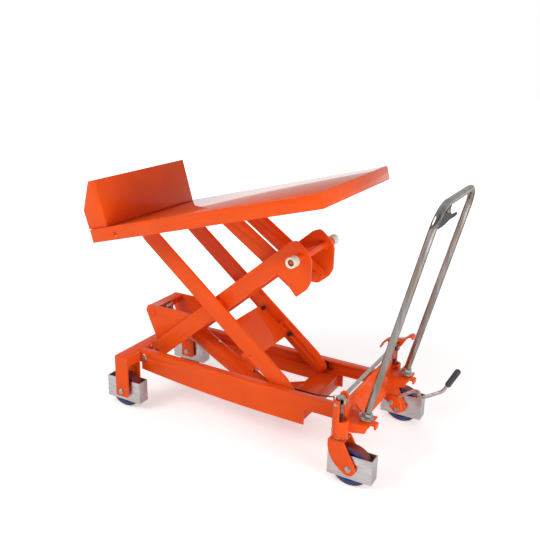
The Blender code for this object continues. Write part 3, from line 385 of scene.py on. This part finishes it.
def weld_ring(shape, place, axis, ring_radius, radius=0.0020):
    """Adds a weld bead round a shaft or tube."""
    matrix = Matrix.Translation(place) @ turn_to(axis)
    count = int(2 * pi * ring_radius / WELD_STEP)
    turns = [2 * pi * i / count for i in range(count + 1)]
    points = [matrix @ Vector((ring_radius * cos(a), ring_radius * sin(a), 0)) for a in turns]
    return sweep(shape, points, radius, WELD_SIDES, WELD_RIPPLE, WELD_PITCH)


# ---------------------------------------------------------------- materials and edges of the CAD nodes
SLOTS = {s["node"]: s["material_slot"] for s in frame["record"]["subparts"]}
EDGE = {"platform_deck": 0.0012, "load_stop": 0.0022, "front_cross_frame": 0.0010, "cross_member": 0.0010}
USUAL_EDGE = 0.0007
SAME_PLACE, FLAT_ANGLE = 0.00001, radians(0.6)

for name, node in nodes.items():
    for holder in node.material_slots:
        holder.material = MATERIALS[SLOTS[name]]
    joined = node.modifiers.new("joined", "WELD")
    joined.merge_threshold = SAME_PLACE
    flat = node.modifiers.new("flat", "DECIMATE")
    flat.decimate_type = "DISSOLVE"
    flat.angle_limit = FLAT_ANGLE
    add_bevel(node, EDGE.get(name, USUAL_EDGE))
    smooth(node.data)


# ---------------------------------------------------------------- places that the part is built from
FOOT, TOP = at(0.4452, 0, 0.1905), at(0.6040, 0, 0.8480)
HANDLE_UP = (TOP - FOOT).normalized()
HANDLE_OUT = Vector((HANDLE_UP.z, 0, -HANDLE_UP.x))
HANDLE_LENGTH, HANDLE_HALF, TUBE_RADIUS = (TOP - FOOT).length, 0.1724, 0.0107
RAM_FOOT, RAM_HEAD = at(0.030, 0, 0.0855), at(-0.405, 0, 0.312)
RAM_ALONG = (RAM_HEAD - RAM_FOOT).normalized()
RAM_ABOVE = Vector((RAM_ALONG.z, 0, -RAM_ALONG.x))
RAM_LENGTH = (RAM_HEAD - RAM_FOOT).length
PUMP_OFFSET = 0.052
CENTRE, LOWER_ROLLER = at(-0.1223, 0, 0.40725), at(0.1664, 0, 0.1745)
WHEEL_RADIUS, CORE_RADIUS = 0.0625, 0.0556
WHEELS = (("front", -0.432, 0.195), ("rear", 0.432, 0.220))
KINGPIN_X, SWIVEL_Y = 0.388, 0.220
BRAKE_X, BRAKE_Z = 0.384, 0.262
LEVER_PIVOT = (-0.0447, 0.6393)
ACROSS, NEAR, UP = Vector((0, 1, 0)), Vector((0, -1, 0)), Vector((0, 0, 1))


def on_handle(y, along, off=0.0):
    return FOOT + HANDLE_UP * along + HANDLE_OUT * off + ACROSS * y


def on_ram(s, p=0.0, y=0.0):
    return RAM_FOOT + RAM_ALONG * s + RAM_ABOVE * p + ACROSS * y


def on_line(start, end):
    """Places given along a line from start, above it and across the table."""
    along = (end - start).normalized()
    above = Vector((-along.z, 0, along.x))
    return lambda s, p, y=0.0: start + along * s + above * p + ACROSS * y


on_outer = on_line(CENTRE, LOWER_ROLLER)


def middle_of(box):
    """A box's middle and half its width across the table."""
    low, high = box
    return (Vector(low) + Vector(high)) / 2, (high[1] - low[1]) / 2


def slab(shape, corners, offset):
    """Adds a flat plate with these corners on one face."""
    lower = [shape.verts.new(Vector(c)) for c in corners]
    upper = [shape.verts.new(Vector(c) + Vector(offset)) for c in corners]
    shape.faces.new(list(reversed(lower)))
    shape.faces.new(upper)
    for i in range(len(corners)):
        j = (i + 1) % len(corners)
        shape.faces.new((lower[i], lower[j], upper[j], upper[i]))
    return shape


def dome(shape, place, axis, radius, height):
    """Adds a low domed bolt head that stands on a surface."""
    return solid_round(shape, place, axis, [(radius, -0.0004), (radius, height * 0.45),
                                            (radius * 0.86, height * 0.8), (radius * 0.45, height)], 36)


# ---------------------------------------------------------------- wheels
def wheel(end, side_name, x, y):
    place, body = at(x, y, WHEEL_RADIUS), f"{end}_wheel_{side_name}"
    half = 0.0175
    rim = [(WHEEL_RADIUS - 0.0032, half), (WHEEL_RADIUS - 0.0006, half - 0.0030), (WHEEL_RADIUS, 0),
           (WHEEL_RADIUS - 0.0006, 0.0030 - half), (WHEEL_RADIUS - 0.0032, -half),
           (CORE_RADIUS + 0.0004, 0.0012 - half), (CORE_RADIUS + 0.0004, half - 0.0012)]
    turned(f"{end}_tyre_{side_name}", rim, place, ACROSS, "red_brown_tread", body,
           [f"{end}_tread_{side_name}"], 96, 0.0016)
    face, web = 0.0165, 0.0055
    outer = [(CORE_RADIUS, face), (CORE_RADIUS - 0.009, face), (CORE_RADIUS - 0.013, web), (0.0230, web),
             (0.0200, face), (0.0098, face)]
    shape = lathe(bmesh.new(), softened([outer[0]] + [(r, -h) for r, h in outer] + outer[:0:-1], 0.0008),
                  place, ACROSS, 72)
    ribs = 10
    for i in range(ribs):
        turn = Matrix.Translation(place) @ Matrix.Rotation(2 * pi * i / ribs, 4, "Y")
        for face_side in (-1, 1):
            low, high = face_side * (web - 0.001), face_side * (face - 0.004)
            corners = [(0.0205, low), (0.0205, high), (0.0300, high), (CORE_RADIUS - 0.0105, high),
                       (CORE_RADIUS - 0.0105, low)]
            slab(shape, [turn @ Vector((r, h, -0.0014)) for r, h in corners],
                 turn.to_3x3() @ Vector((0, 0, 0.0028)))
    piece(f"{end}_hub_{side_name}", shape, "blue_core", body, [f"{end}_core_{side_name}"])
    bearing = [(0.0097, 0.0172), (0.0097, -0.0172), (0.0065, -0.0172), (0.0065, 0.0172)]
    turned(f"{end}_bearing_{side_name}", bearing, place, ACROSS, "zinc_steel", body, (), 40, 0.0004)


def axle_bolt(end, side_name, body):
    node = f"{end}_axle_{side_name}"
    middle, reach = middle_of(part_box(node))
    head = 0.0046
    shape = solid_round(bmesh.new(), middle, ACROSS, [(0.006, -reach + 0.001), (0.006, reach)], 32)
    washer(shape, middle, ACROSS, 0.0100, head - reach, head - reach - 0.0012)
    dome(shape, middle + NEAR * (reach - head + 0.0012), NEAR, 0.0084, 0.0040)
    washer(shape, middle, ACROSS, 0.0100, reach - head, reach - head + 0.0012)
    hexagon(shape, middle, ACROSS, 0.0150, reach - head + 0.001, reach - 0.0004)
    piece(f"{end}_axle_bolt_{side_name}", shape, "zinc_steel", body, [node])


# ---------------------------------------------------------------- shafts, pins and rollers
def shaft(name, node, slot, body, radius, head_radius, head):
    """Pin across the table, as long as the node that it stands for, with a domed head at each end."""
    middle, reach = middle_of(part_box(node))
    shape = solid_round(bmesh.new(), middle, ACROSS, [(radius, -reach + 0.001), (radius, reach - 0.001)], 40)
    for _, side in SIDES:
        dome(shape, middle + ACROSS * side * (reach - head), ACROSS * side, head_radius, head)
    piece(name, shape, slot, body, [node])


def roller_shaft():
    middle, reach = middle_of(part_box("roller_shaft"))
    half = [(0.0125, 0.0775), (0.0100, 0.0775), (0.0100, 0.0865), (0.0125, 0.0865), (0.0125, 0.1265),
            (0.0100, 0.1265), (0.0100, reach)]
    shape = solid_round(bmesh.new(), middle, ACROSS, [(r, -h) for r, h in reversed(half)] + half, 48)
    for _, side in SIDES:
        weld_ring(shape, middle + ACROSS * side * 0.0775, ACROSS, 0.0132)
        weld_ring(shape, middle + ACROSS * side * 0.0868, ACROSS, 0.0132)
    piece("upper_shaft", shape, "orange_paint", "inner_arms", ["roller_shaft"])


def rollers():
    for side_name, side in SIDES:
        for which, radius, bore, slot in (("deck_roller", 0.0175, 0.0104, "white_nylon"),
                                          ("rail_roller", 0.0168, 0.0094, "black_plastic")):
            node = f"{which}_wheel_{side_name}"
            middle, half = middle_of(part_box(node))
            rim, mouth = radius - 0.0012, bore + 0.0020
            profile = [(rim, half), (radius, half - 0.0022), (radius, 0.0022 - half), (rim, -half),
                       (mouth, -half), (bore, 0.0015 - half), (bore, half - 0.0015), (mouth, half)]
            turned(f"{which}_tyre_{side_name}", profile, middle, ACROSS, slot, f"{which}_{side_name}",
                   [node], 72, 0.0010)
        end = middle_of(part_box("roller_shaft"))[0]
        shape = washer(bmesh.new(), end, ACROSS * side, 0.0098, 0.1498, 0.1512, 0.0066)
        piece(f"deck_roller_seal_{side_name}", shape, "black_plastic", "inner_arms")
        shape = dome(bmesh.new(), end + ACROSS * side * 0.1500, ACROSS * side, 0.0064, 0.0022)
        piece(f"deck_roller_cap_{side_name}", shape, "orange_paint", "inner_arms")


# ---------------------------------------------------------------- ram and pump
def ram():
    reach = RAM_LENGTH - 0.012
    shape = solid_round(bmesh.new(), RAM_FOOT, RAM_ALONG, [(0.0125, 0.280), (0.0125, reach)], 56)
    eye = softened([(0.0190, 0.0200), (0.0190, -0.0200), (0.0108, -0.0200), (0.0108, 0.0200)], 0.0012)
    lathe(shape, eye, RAM_HEAD, ACROSS, 56)
    piece("ram_chrome_rod", shape, "zinc_steel", "ram_piston", ["ram_rod"])
    ring = bmesh.new()
    washer(ring, RAM_FOOT, RAM_ALONG, 0.0205, 0.4036, 0.4072, 0.0130)
    piece("ram_gland", ring, "zinc_steel", "ram_body")
    wiper = washer(bmesh.new(), RAM_FOOT, RAM_ALONG, 0.0165, 0.4072, 0.4090, 0.0127)
    piece("ram_wiper", wiper, "black_plastic", "ram_body")
    fittings = hexagon(bmesh.new(), on_ram(0.100, 0, -0.031), NEAR, 0.0170, 0.0, 0.0070)
    hexagon(fittings, on_ram(0.245, 0.0305), RAM_ABOVE, 0.0120, 0.0, 0.0050)
    washer(fittings, on_ram(0.0, PUMP_OFFSET), RAM_ALONG, 0.0140, 0.0745, 0.0820, 0.0080)
    piece("pump_fittings", fittings, "zinc_steel", "ram_body")
    seams = weld_ring(bmesh.new(), on_ram(0.0222), RAM_ALONG, 0.0310)
    weld_ring(seams, on_ram(0.3998), RAM_ALONG, 0.0225)
    piece("ram_welds", seams, "orange_paint", "ram_body")


def pump():
    centre = on_ram(0, PUMP_OFFSET)
    plunger = solid_round(bmesh.new(), centre, RAM_ALONG, [(0.005, 0.009), (0.005, 0.078)], 32)
    solid_round(plunger, centre, RAM_ALONG, [(0.0105, 0.0060), (0.0105, 0.0115)], 40)
    piece("pump_push_rod", plunger, "zinc_steel", "pump", ["pump_plunger"])
    first, last, turns, coil = 0.0135, 0.0730, 6.0, 0.0080
    steps = int(turns * 28)
    points = []
    for i in range(steps + 1):
        turn, along = 2 * pi * turns * i / steps, first + (last - first) * i / steps
        points.append(centre + RAM_ALONG * along + RAM_ABOVE * coil * sin(turn) + ACROSS * coil * cos(turn))
    coiled = sweep(bmesh.new(), points, 0.0013, 10)
    spring = piece("pump_coil", coiled, "zinc_steel", "ram_body", ["pump_spring"])
    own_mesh(spring)


# ---------------------------------------------------------------- push handle
def handle():
    radius, foot = 0.065, 0.0028
    straight = HANDLE_LENGTH - radius
    bend = [(HANDLE_HALF - radius + radius * cos(a), straight + radius * sin(a))
            for a in [pi / 2 * i / 20 for i in range(21)]]
    half = [(HANDLE_HALF, foot), *bend]
    points = [on_handle(y, w) for y, w in half + [(-y, w) for y, w in reversed(half)]]
    tube = sweep(bmesh.new(), points, TUBE_RADIUS, 40)
    piece("handle_tube", tube, "polished_tube", "base", ["push_handle"])
    y, w = LEVER_PIVOT
    corners = [on_handle(y + side * 0.006, along, -0.0095) for side, along in
               ((-1, HANDLE_LENGTH), (-1, w - 0.004), (-0.7, w - 0.010), (0.7, w - 0.010), (1, w - 0.004),
                (1, HANDLE_LENGTH))]
    lug = slab(bmesh.new(), corners, HANDLE_OUT * 0.004)
    piece("lever_lug", lug, "black_plastic", "base", bevel=0.0006)
    turning = on_handle(y, w)
    pivot_bolt = solid_round(bmesh.new(), turning, -HANDLE_OUT, [(0.004, 0.0085), (0.004, 0.0205)], 28)
    washer(pivot_bolt, turning, -HANDLE_OUT, 0.0085, 0.0174, 0.0184)
    hexagon(pivot_bolt, turning, -HANDLE_OUT, 0.0120, 0.0184, 0.0222)
    washer(pivot_bolt, turning, HANDLE_OUT, 0.0082, -0.0057, -0.0046)
    hexagon(pivot_bolt, turning, HANDLE_OUT, 0.0120, -0.0047, -0.0004)
    piece("lever_bolt", pivot_bolt, "zinc_steel", "base")
    for side_name, side in SIDES:
        place = on_handle(side * HANDLE_HALF, 0)
        shape = bmesh.new()
        bore = TUBE_RADIUS + 0.0003
        for r, low, high, corner, sides in ((0.0220, 0.0085, 0.0135, 0.0008, 64),
                                            (0.0185, 0.0133, 0.0165, 0.0005, 64),
                                            (0.0160, 0.0163, 0.0280, 0.0010, 6)):
            profile = softened([(r, high), (r, low), (bore, low), (bore, high)], corner)
            lathe(shape, profile, place, HANDLE_UP, sides)
        piece(f"handle_nut_{side_name}", shape, "zinc_steel", "base", [f"handle_flange_{side_name}"])


def cables():
    """The release cable's two stretches in the open, along the same routes as their solids."""
    lead = route([on_handle(-0.0704, 0.5870, -0.0148), on_handle(-0.1000, 0.5800, -0.0150),
                  on_handle(-0.1300, 0.5770, -0.0140), on_handle(-0.1608, 0.5790, -0.0040)], 8)
    lead.reverse()
    strand = sweep(bmesh.new(), lead, 0.0012, 12)
    wire = piece("release_wire", strand, "black_plastic", None, ["cable_lead"])
    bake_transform(wire)
    ferrule = solid_round(bmesh.new(), lead[-1], (lead[-2] - lead[-1]).normalized(),
                          [(0.0030, -0.0030), (0.0030, 0.0060), (0.0020, 0.0090)], 24)
    hexagon(ferrule, lead[-1] - HANDLE_OUT * 0.0030, -HANDLE_OUT, 0.0070, 0.0, 0.0040)
    piece("cable_clamp", ferrule, "zinc_steel", "lever")
    corners = [(0.3846, -0.0620, 0.1850), (0.3640, -0.0618, 0.1838), (0.3200, -0.0580, 0.1760),
               (0.2800, -0.0520, 0.1650), (0.2500, -0.0480, 0.1580), (0.2260, -0.0460, 0.1545),
               (0.2000, -0.0460, 0.1541), (0.1750, -0.0465, 0.1541), (0.1500, -0.0480, 0.1541),
               (0.1320, -0.0510, 0.1500), (0.1150, -0.0560, 0.1390), (0.0960, -0.0600, 0.1225),
               (0.0800, -0.0585, 0.1085), (0.0720, -0.0520, 0.1015), (0.0700, -0.0412, 0.0990)]
    points = route([at(*c) for c in corners], 8)
    outer = sweep(bmesh.new(), points, 0.0022, 14)
    cable = piece("release_hose", outer, "black_plastic", "base", ["release_cable"])
    glands = washer(bmesh.new(), points[0], (-1, 0, 0), 0.0050, -0.0002, 0.0040, 0.0024)
    washer(glands, points[-1], NEAR, 0.0050, -0.0004, 0.0030, 0.0024)
    piece("cable_glands", glands, "black_plastic", "base")


# ---------------------------------------------------------------- brake and pump pedal
def brake():
    middle = at(BRAKE_X, 0, BRAKE_Z)
    shape = solid_round(bmesh.new(), middle, ACROSS, [(0.006, -0.2330), (0.006, 0.2560)], 36)
    lobe_angle, lobe_reach = radians(71), 0.0125
    lobe = middle + Vector((lobe_reach * sin(lobe_angle), 0, -lobe_reach * cos(lobe_angle)))
    out = Vector((-0.95, 0, 0.31))
    for _, side in SIDES:
        for place, radius in ((middle, 0.013), (lobe, 0.009)):
            solid_round(shape, place + ACROSS * side * SWIVEL_Y, ACROSS,
                        [(radius, -0.0065), (radius, 0.0065)], 44)
        at_cam = middle + ACROSS * side * SWIVEL_Y
        solid_round(shape, at_cam, out, [(0.0025, 0.010), (0.0025, 0.0235)], 20)
        hexagon(shape, at_cam, out, 0.0085, 0.0128, 0.0170)
    piece("brake_cam_shaft", shape, "zinc_steel", "brake", ["brake_shaft"])
    for side_name, side in SIDES:
        foot = at(KINGPIN_X, side * SWIVEL_Y, 0)
        body = f"brake_plunger_{side_name}"
        rod = solid_round(bmesh.new(), foot, UP,
                          [(0.004, 0.1172), (0.004, 0.2440), (0.0060, 0.2450), (0.0060, 0.2470)], 28)
        coil, turns, bottom, height = 0.0068, 5.0, 0.2170, 0.0265
        steps = int(turns * 24)
        points = []
        for i in range(steps + 1):
            a = 2 * pi * turns * i / steps
            points.append(foot + Vector((coil * cos(a), coil * sin(a), bottom + height * i / steps)))
        sweep(rod, points, 0.0010, 8)
        piece(f"brake_push_rod_{side_name}", rod, "zinc_steel", body, [f"brake_rod_{side_name}"])
        low, tall, count = 0.2010, 0.0155, 10
        folds = [(0.0075 if i % 2 else 0.0060, low + tall * i / count) for i in range(count + 1)]
        profile = softened([(0.0041, low), *folds, (0.0041, 0.2165)], 0.0004, 2)
        boot = lathe(bmesh.new(), profile, foot, UP, 40)
        piece(f"brake_boot_{side_name}", boot, "grey_grip", body)
        profile = [(0.0245, 0.1475), (0.0245, 0.1440), (0.0217, 0.1440), (0.0217, 0.1475)]
        ring = lathe(bmesh.new(), softened(profile, 0.0004), foot, UP, 56)
        piece(f"swivel_ring_{side_name}", ring, "zinc_steel", f"swivel_{side_name}")
        bolt_z = 0.254 if side < 0 else 0.240
        bolt = dome(bmesh.new(), at(0.380, side * 0.2436, bolt_z), ACROSS * side, 0.0060, 0.0034)
        aim = Vector((-0.6, side * 0.8, 0))
        solid_round(bolt, at(KINGPIN_X, side * SWIVEL_Y, 0.172), aim,
                    [(0.0032, 0.0240), (0.0032, 0.0265), (0.0016, 0.0275), (0.0022, 0.0300)], 20)
        piece(f"housing_bolt_{side_name}", bolt, "zinc_steel", "base")


def pump_pedal():
    back, front = 0.0508, 0.012
    points = route([at(*c) for c in ((0.460, back, 0.1665), (0.488, back, 0.1865), (0.514, back, 0.2045),
                                     (0.531, back - 0.006, 0.2100), (0.538, 0.033, 0.2085),
                                     (0.543, front + 0.006, 0.2070), (0.560, front, 0.2140),
                                     (0.592, front, 0.2340), (0.612, front, 0.2480), (0.6235, front, 0.2660),
                                     (0.6530, front, 0.3260))], 9)
    piece("pedal_tube", sweep(bmesh.new(), points, 0.0054, 28), "zinc_steel", "pedal", ["pedal_rod"])
    start, end = at(0.6262, 0.012, 0.2715), at(0.6545, 0.012, 0.3291)
    length, radius, pitch = (end - start).length, 0.0092, 0.0036
    ribs = [(radius if i % 2 else radius - 0.0004, 0.004 + pitch / 2 * i)
            for i in range(int((length - 0.012) / pitch * 2))]
    sections = [(0.0058, 0.0), (0.0078, 0.0), (0.0088, 0.002), *ribs, (radius, length - 0.007),
                (radius - 0.0012, length - 0.0025), (radius - 0.0042, length - 0.0003)]
    piece("pedal_sleeve", solid_round(bmesh.new(), start, end - start, sections, 48), "grey_grip", "pedal",
          ["pedal_grip"])
    cap = dome(bmesh.new(), at(0.450, 0.0296, 0.157), NEAR, 0.0086, 0.0036)
    piece("pedal_pivot_cap", cap, "zinc_steel", "base")
    bolt = hexagon(bmesh.new(), at(0.4695, 0.0402, 0.1330), NEAR, 0.0120, 0.0, 0.0045)
    washer(bolt, at(0.4695, 0.0402, 0.1330), NEAR, 0.0080, -0.0004, 0.0010)
    piece("pedal_bolt", bolt, "zinc_steel", "pedal")


# ---------------------------------------------------------------- welds and buffers
def arm_details():
    seams, buffers = bmesh.new(), bmesh.new()
    normal = on_outer(0, 1) - on_outer(0, 0)
    for _, side in SIDES:
        for p in (-0.0065, -0.0135):
            weld(seams, on_outer(0.078, p, side * 0.1026), on_outer(0.212, p, side * 0.1026), 0.0018)
        corners = ((0.086, 0.0885), (0.096, 0.0885), (0.096, 0.1022), (0.086, 0.1022))
        slab(buffers, [on_outer(s, -0.0120, side * y) for s, y in corners], normal * 0.0170)
        solid_round(buffers, on_outer(0.219, 0.001, side * 0.1040), ACROSS * -side,
                    [(0.0075, -0.001), (0.0075, 0.0050), (0.0060, 0.0080), (0.0030, 0.0088)], 32)
    piece("arm_welds", seams, "orange_paint", "outer_arms")
    piece("rubber_buffers", buffers, "black_plastic", "outer_arms", bevel=0.0008)


def base_details():
    seams = bmesh.new()
    for _, side in SIDES:
        for x in (0.1495, 0.2265):
            weld(seams, at(x, side * 0.1468, 0.102), at(x, side * 0.1468, 0.150), 0.0018)
        weld(seams, at(0.3915, side * 0.1322, 0.153), at(0.3915, side * 0.1322, 0.183), 0.0018)
        weld(seams, at(0.3915, side * 0.134, 0.1905), at(0.3915, side * 0.192, 0.1905), 0.0018)
        weld(seams, at(0.1498, side * 0.0342, 0.106), at(0.1498, side * 0.0342, 0.144), 0.0016)
        weld_ring(seams, at(-0.388, side * 0.1542, 0.1745), ACROSS, 0.0128, 0.0014)
    piece("base_welds", seams, "orange_paint", "base")
    seams = bmesh.new()
    for _, side in SIDES:
        weld(seams, at(-0.4165, side * 0.0700, 0.3343), at(-0.3855, side * 0.0700, 0.3343), 0.0016)
    piece("bracket_welds", seams, "orange_paint", "inner_arms")


for side_name, side in SIDES:
    for end, x, y in WHEELS:
        wheel(end, side_name, x, side * y)
    axle_bolt("front", side_name, "base")
    axle_bolt("rear", side_name, "swivel_" + side_name)
shaft("arm_shaft", "arm_pivot_shaft", "zinc_steel", "base", 0.010, 0.0125, 0.005)
shaft("platform_shaft", "hinge_shaft", "zinc_steel", "platform", 0.008, 0.011, 0.004)
shaft("tilt_rod", "tilt_pin", "zinc_steel", "platform", 0.004, 0.007, 0.003)
shaft("ram_head_pin", "ram_pin", "orange_paint", "inner_arms", 0.008, 0.0105, 0.004)
roller_shaft()
rollers()
ram()
pump()
handle()
cables()
brake()
pump_pedal()
arm_details()
base_details()


# ---------------------------------------------------------------- stage, light and camera
FLOOR_REACH = 14.0


def area_light(name, place, target, size, power):
    """Rectangular light that faces its target, with its size in metres and its power in watts."""
    data = bpy.data.lights.new(name, "AREA")
    data.shape = "RECTANGLE"
    data.size, data.size_y = size
    data.energy = power
    made = bpy.data.objects.new(name, data)
    made.matrix_world = Matrix.Translation(place) @ turn_to(Vector(place) - Vector(target))
    bpy.context.scene.collection.objects.link(made)
    return made


def floor_material():
    """Pale floor that glows more to the camera and more far from the table, so that no horizon shows."""
    made, tree, shader = principled("floor", (0.90, 0.90, 0.90), 0.85, Specular_IOR_Level=0.1,
                                    Emission_Color=(1.0, 1.0, 1.0, 1.0))
    coords = tree.nodes.new("ShaderNodeTexCoord")
    length = tree.nodes.new("ShaderNodeVectorMath")
    length.operation = "LENGTH"
    tree.links.new(coords.outputs["Object"], length.inputs[0])
    glow = spread_to(tree, length.outputs["Value"], low=0.40, high=1.05, start=0.7, end=3.5)
    far_glow = spread_to(tree, length.outputs["Value"], low=0.0, high=0.62, start=3.0, end=6.0)
    rays = tree.nodes.new("ShaderNodeLightPath")
    lifted = tree.nodes.new("ShaderNodeMath")
    lifted.operation = "MULTIPLY_ADD"
    tree.links.new(rays.outputs["Is Camera Ray"], lifted.inputs[0])
    tree.links.new(glow, lifted.inputs[1])
    tree.links.new(far_glow, lifted.inputs[2])
    tree.links.new(lifted.outputs[0], shader.inputs["Emission Strength"])
    return made


def studio():
    """Soft light, brighter from behind the table and from above; plain white to the camera."""
    world = bpy.data.worlds.new("studio")
    world.use_nodes = True
    tree = world.node_tree
    lit = tree.nodes["Background"]
    coords = tree.nodes.new("ShaderNodeTexCoord")
    toward = tree.nodes.new("ShaderNodeVectorMath")
    toward.operation = "DOT_PRODUCT"
    toward.inputs[1].default_value = (0.05, 0.82, 0.55)
    tree.links.new(coords.outputs["Generated"], toward.inputs[0])
    strength = spread_to(tree, toward.outputs["Value"], low=0.26, high=0.62, start=-0.10, end=0.70)
    tree.links.new(strength, lit.inputs["Strength"])
    lit.inputs["Color"].default_value = (1.0, 1.0, 1.0, 1.0)
    seen = tree.nodes.new("ShaderNodeBackground")
    seen.inputs["Color"].default_value = (1.0, 1.0, 1.0, 1.0)
    rays = tree.nodes.new("ShaderNodeLightPath")
    mixed = tree.nodes.new("ShaderNodeMixShader")
    tree.links.new(rays.outputs["Is Camera Ray"], mixed.inputs[0])
    tree.links.new(lit.outputs[0], mixed.inputs[1])
    tree.links.new(seen.outputs[0], mixed.inputs[2])
    tree.links.new(mixed.outputs[0], tree.nodes["World Output"].inputs["Surface"])
    bpy.context.scene.world = world


def stage():
    shape = bmesh.new()
    bmesh.ops.create_grid(shape, x_segments=1, y_segments=1, size=FLOOR_REACH)
    mesh = bpy.data.meshes.new("floor")
    shape.to_mesh(mesh)
    shape.free()
    mesh.materials.append(floor_material())
    floor = bpy.data.objects.new("floor", mesh)
    bpy.context.scene.collection.objects.link(floor)
    studio()
    area_light("key", (-1.9, -2.6, 2.6), (0, 0, 0.35), (2.2, 1.8), 70)
    side = area_light("side", (2.3, -1.0, 0.75), (0.2, 0, 0.25), (1.3, 1.1), 36)
    side.visible_glossy = False
    bpy.context.scene.view_settings.view_transform = "Standard"


def camera():
    """Camera at the viewing angle, with the small shift that the framing needs."""
    eye, yaw, pitch, roll = at(1.0951, -1.9540, 1.2590), radians(30.17), radians(18.33), radians(0.995)
    sensor, lens, shift_right, shift_up = 36.0, 48.12, 0.0305, 0.0032
    ahead = Vector((-sin(yaw) * cos(pitch), cos(yaw) * cos(pitch), -sin(pitch)))
    level = Vector((cos(yaw), sin(yaw), 0.0))
    above = level.cross(ahead)
    right, up = level * cos(roll) + above * sin(roll), above * cos(roll) - level * sin(roll)
    data = bpy.data.cameras.new("camera")
    data.sensor_width, data.lens = sensor, lens
    data.shift_x, data.shift_y = shift_right, shift_up
    made = bpy.data.objects.new("camera", data)
    turn = Matrix((right, up, -ahead)).transposed().to_4x4()
    made.matrix_world = Matrix.Translation(eye) @ turn
    bpy.context.scene.collection.objects.link(made)
    bpy.context.scene.camera = made


stage()
camera()
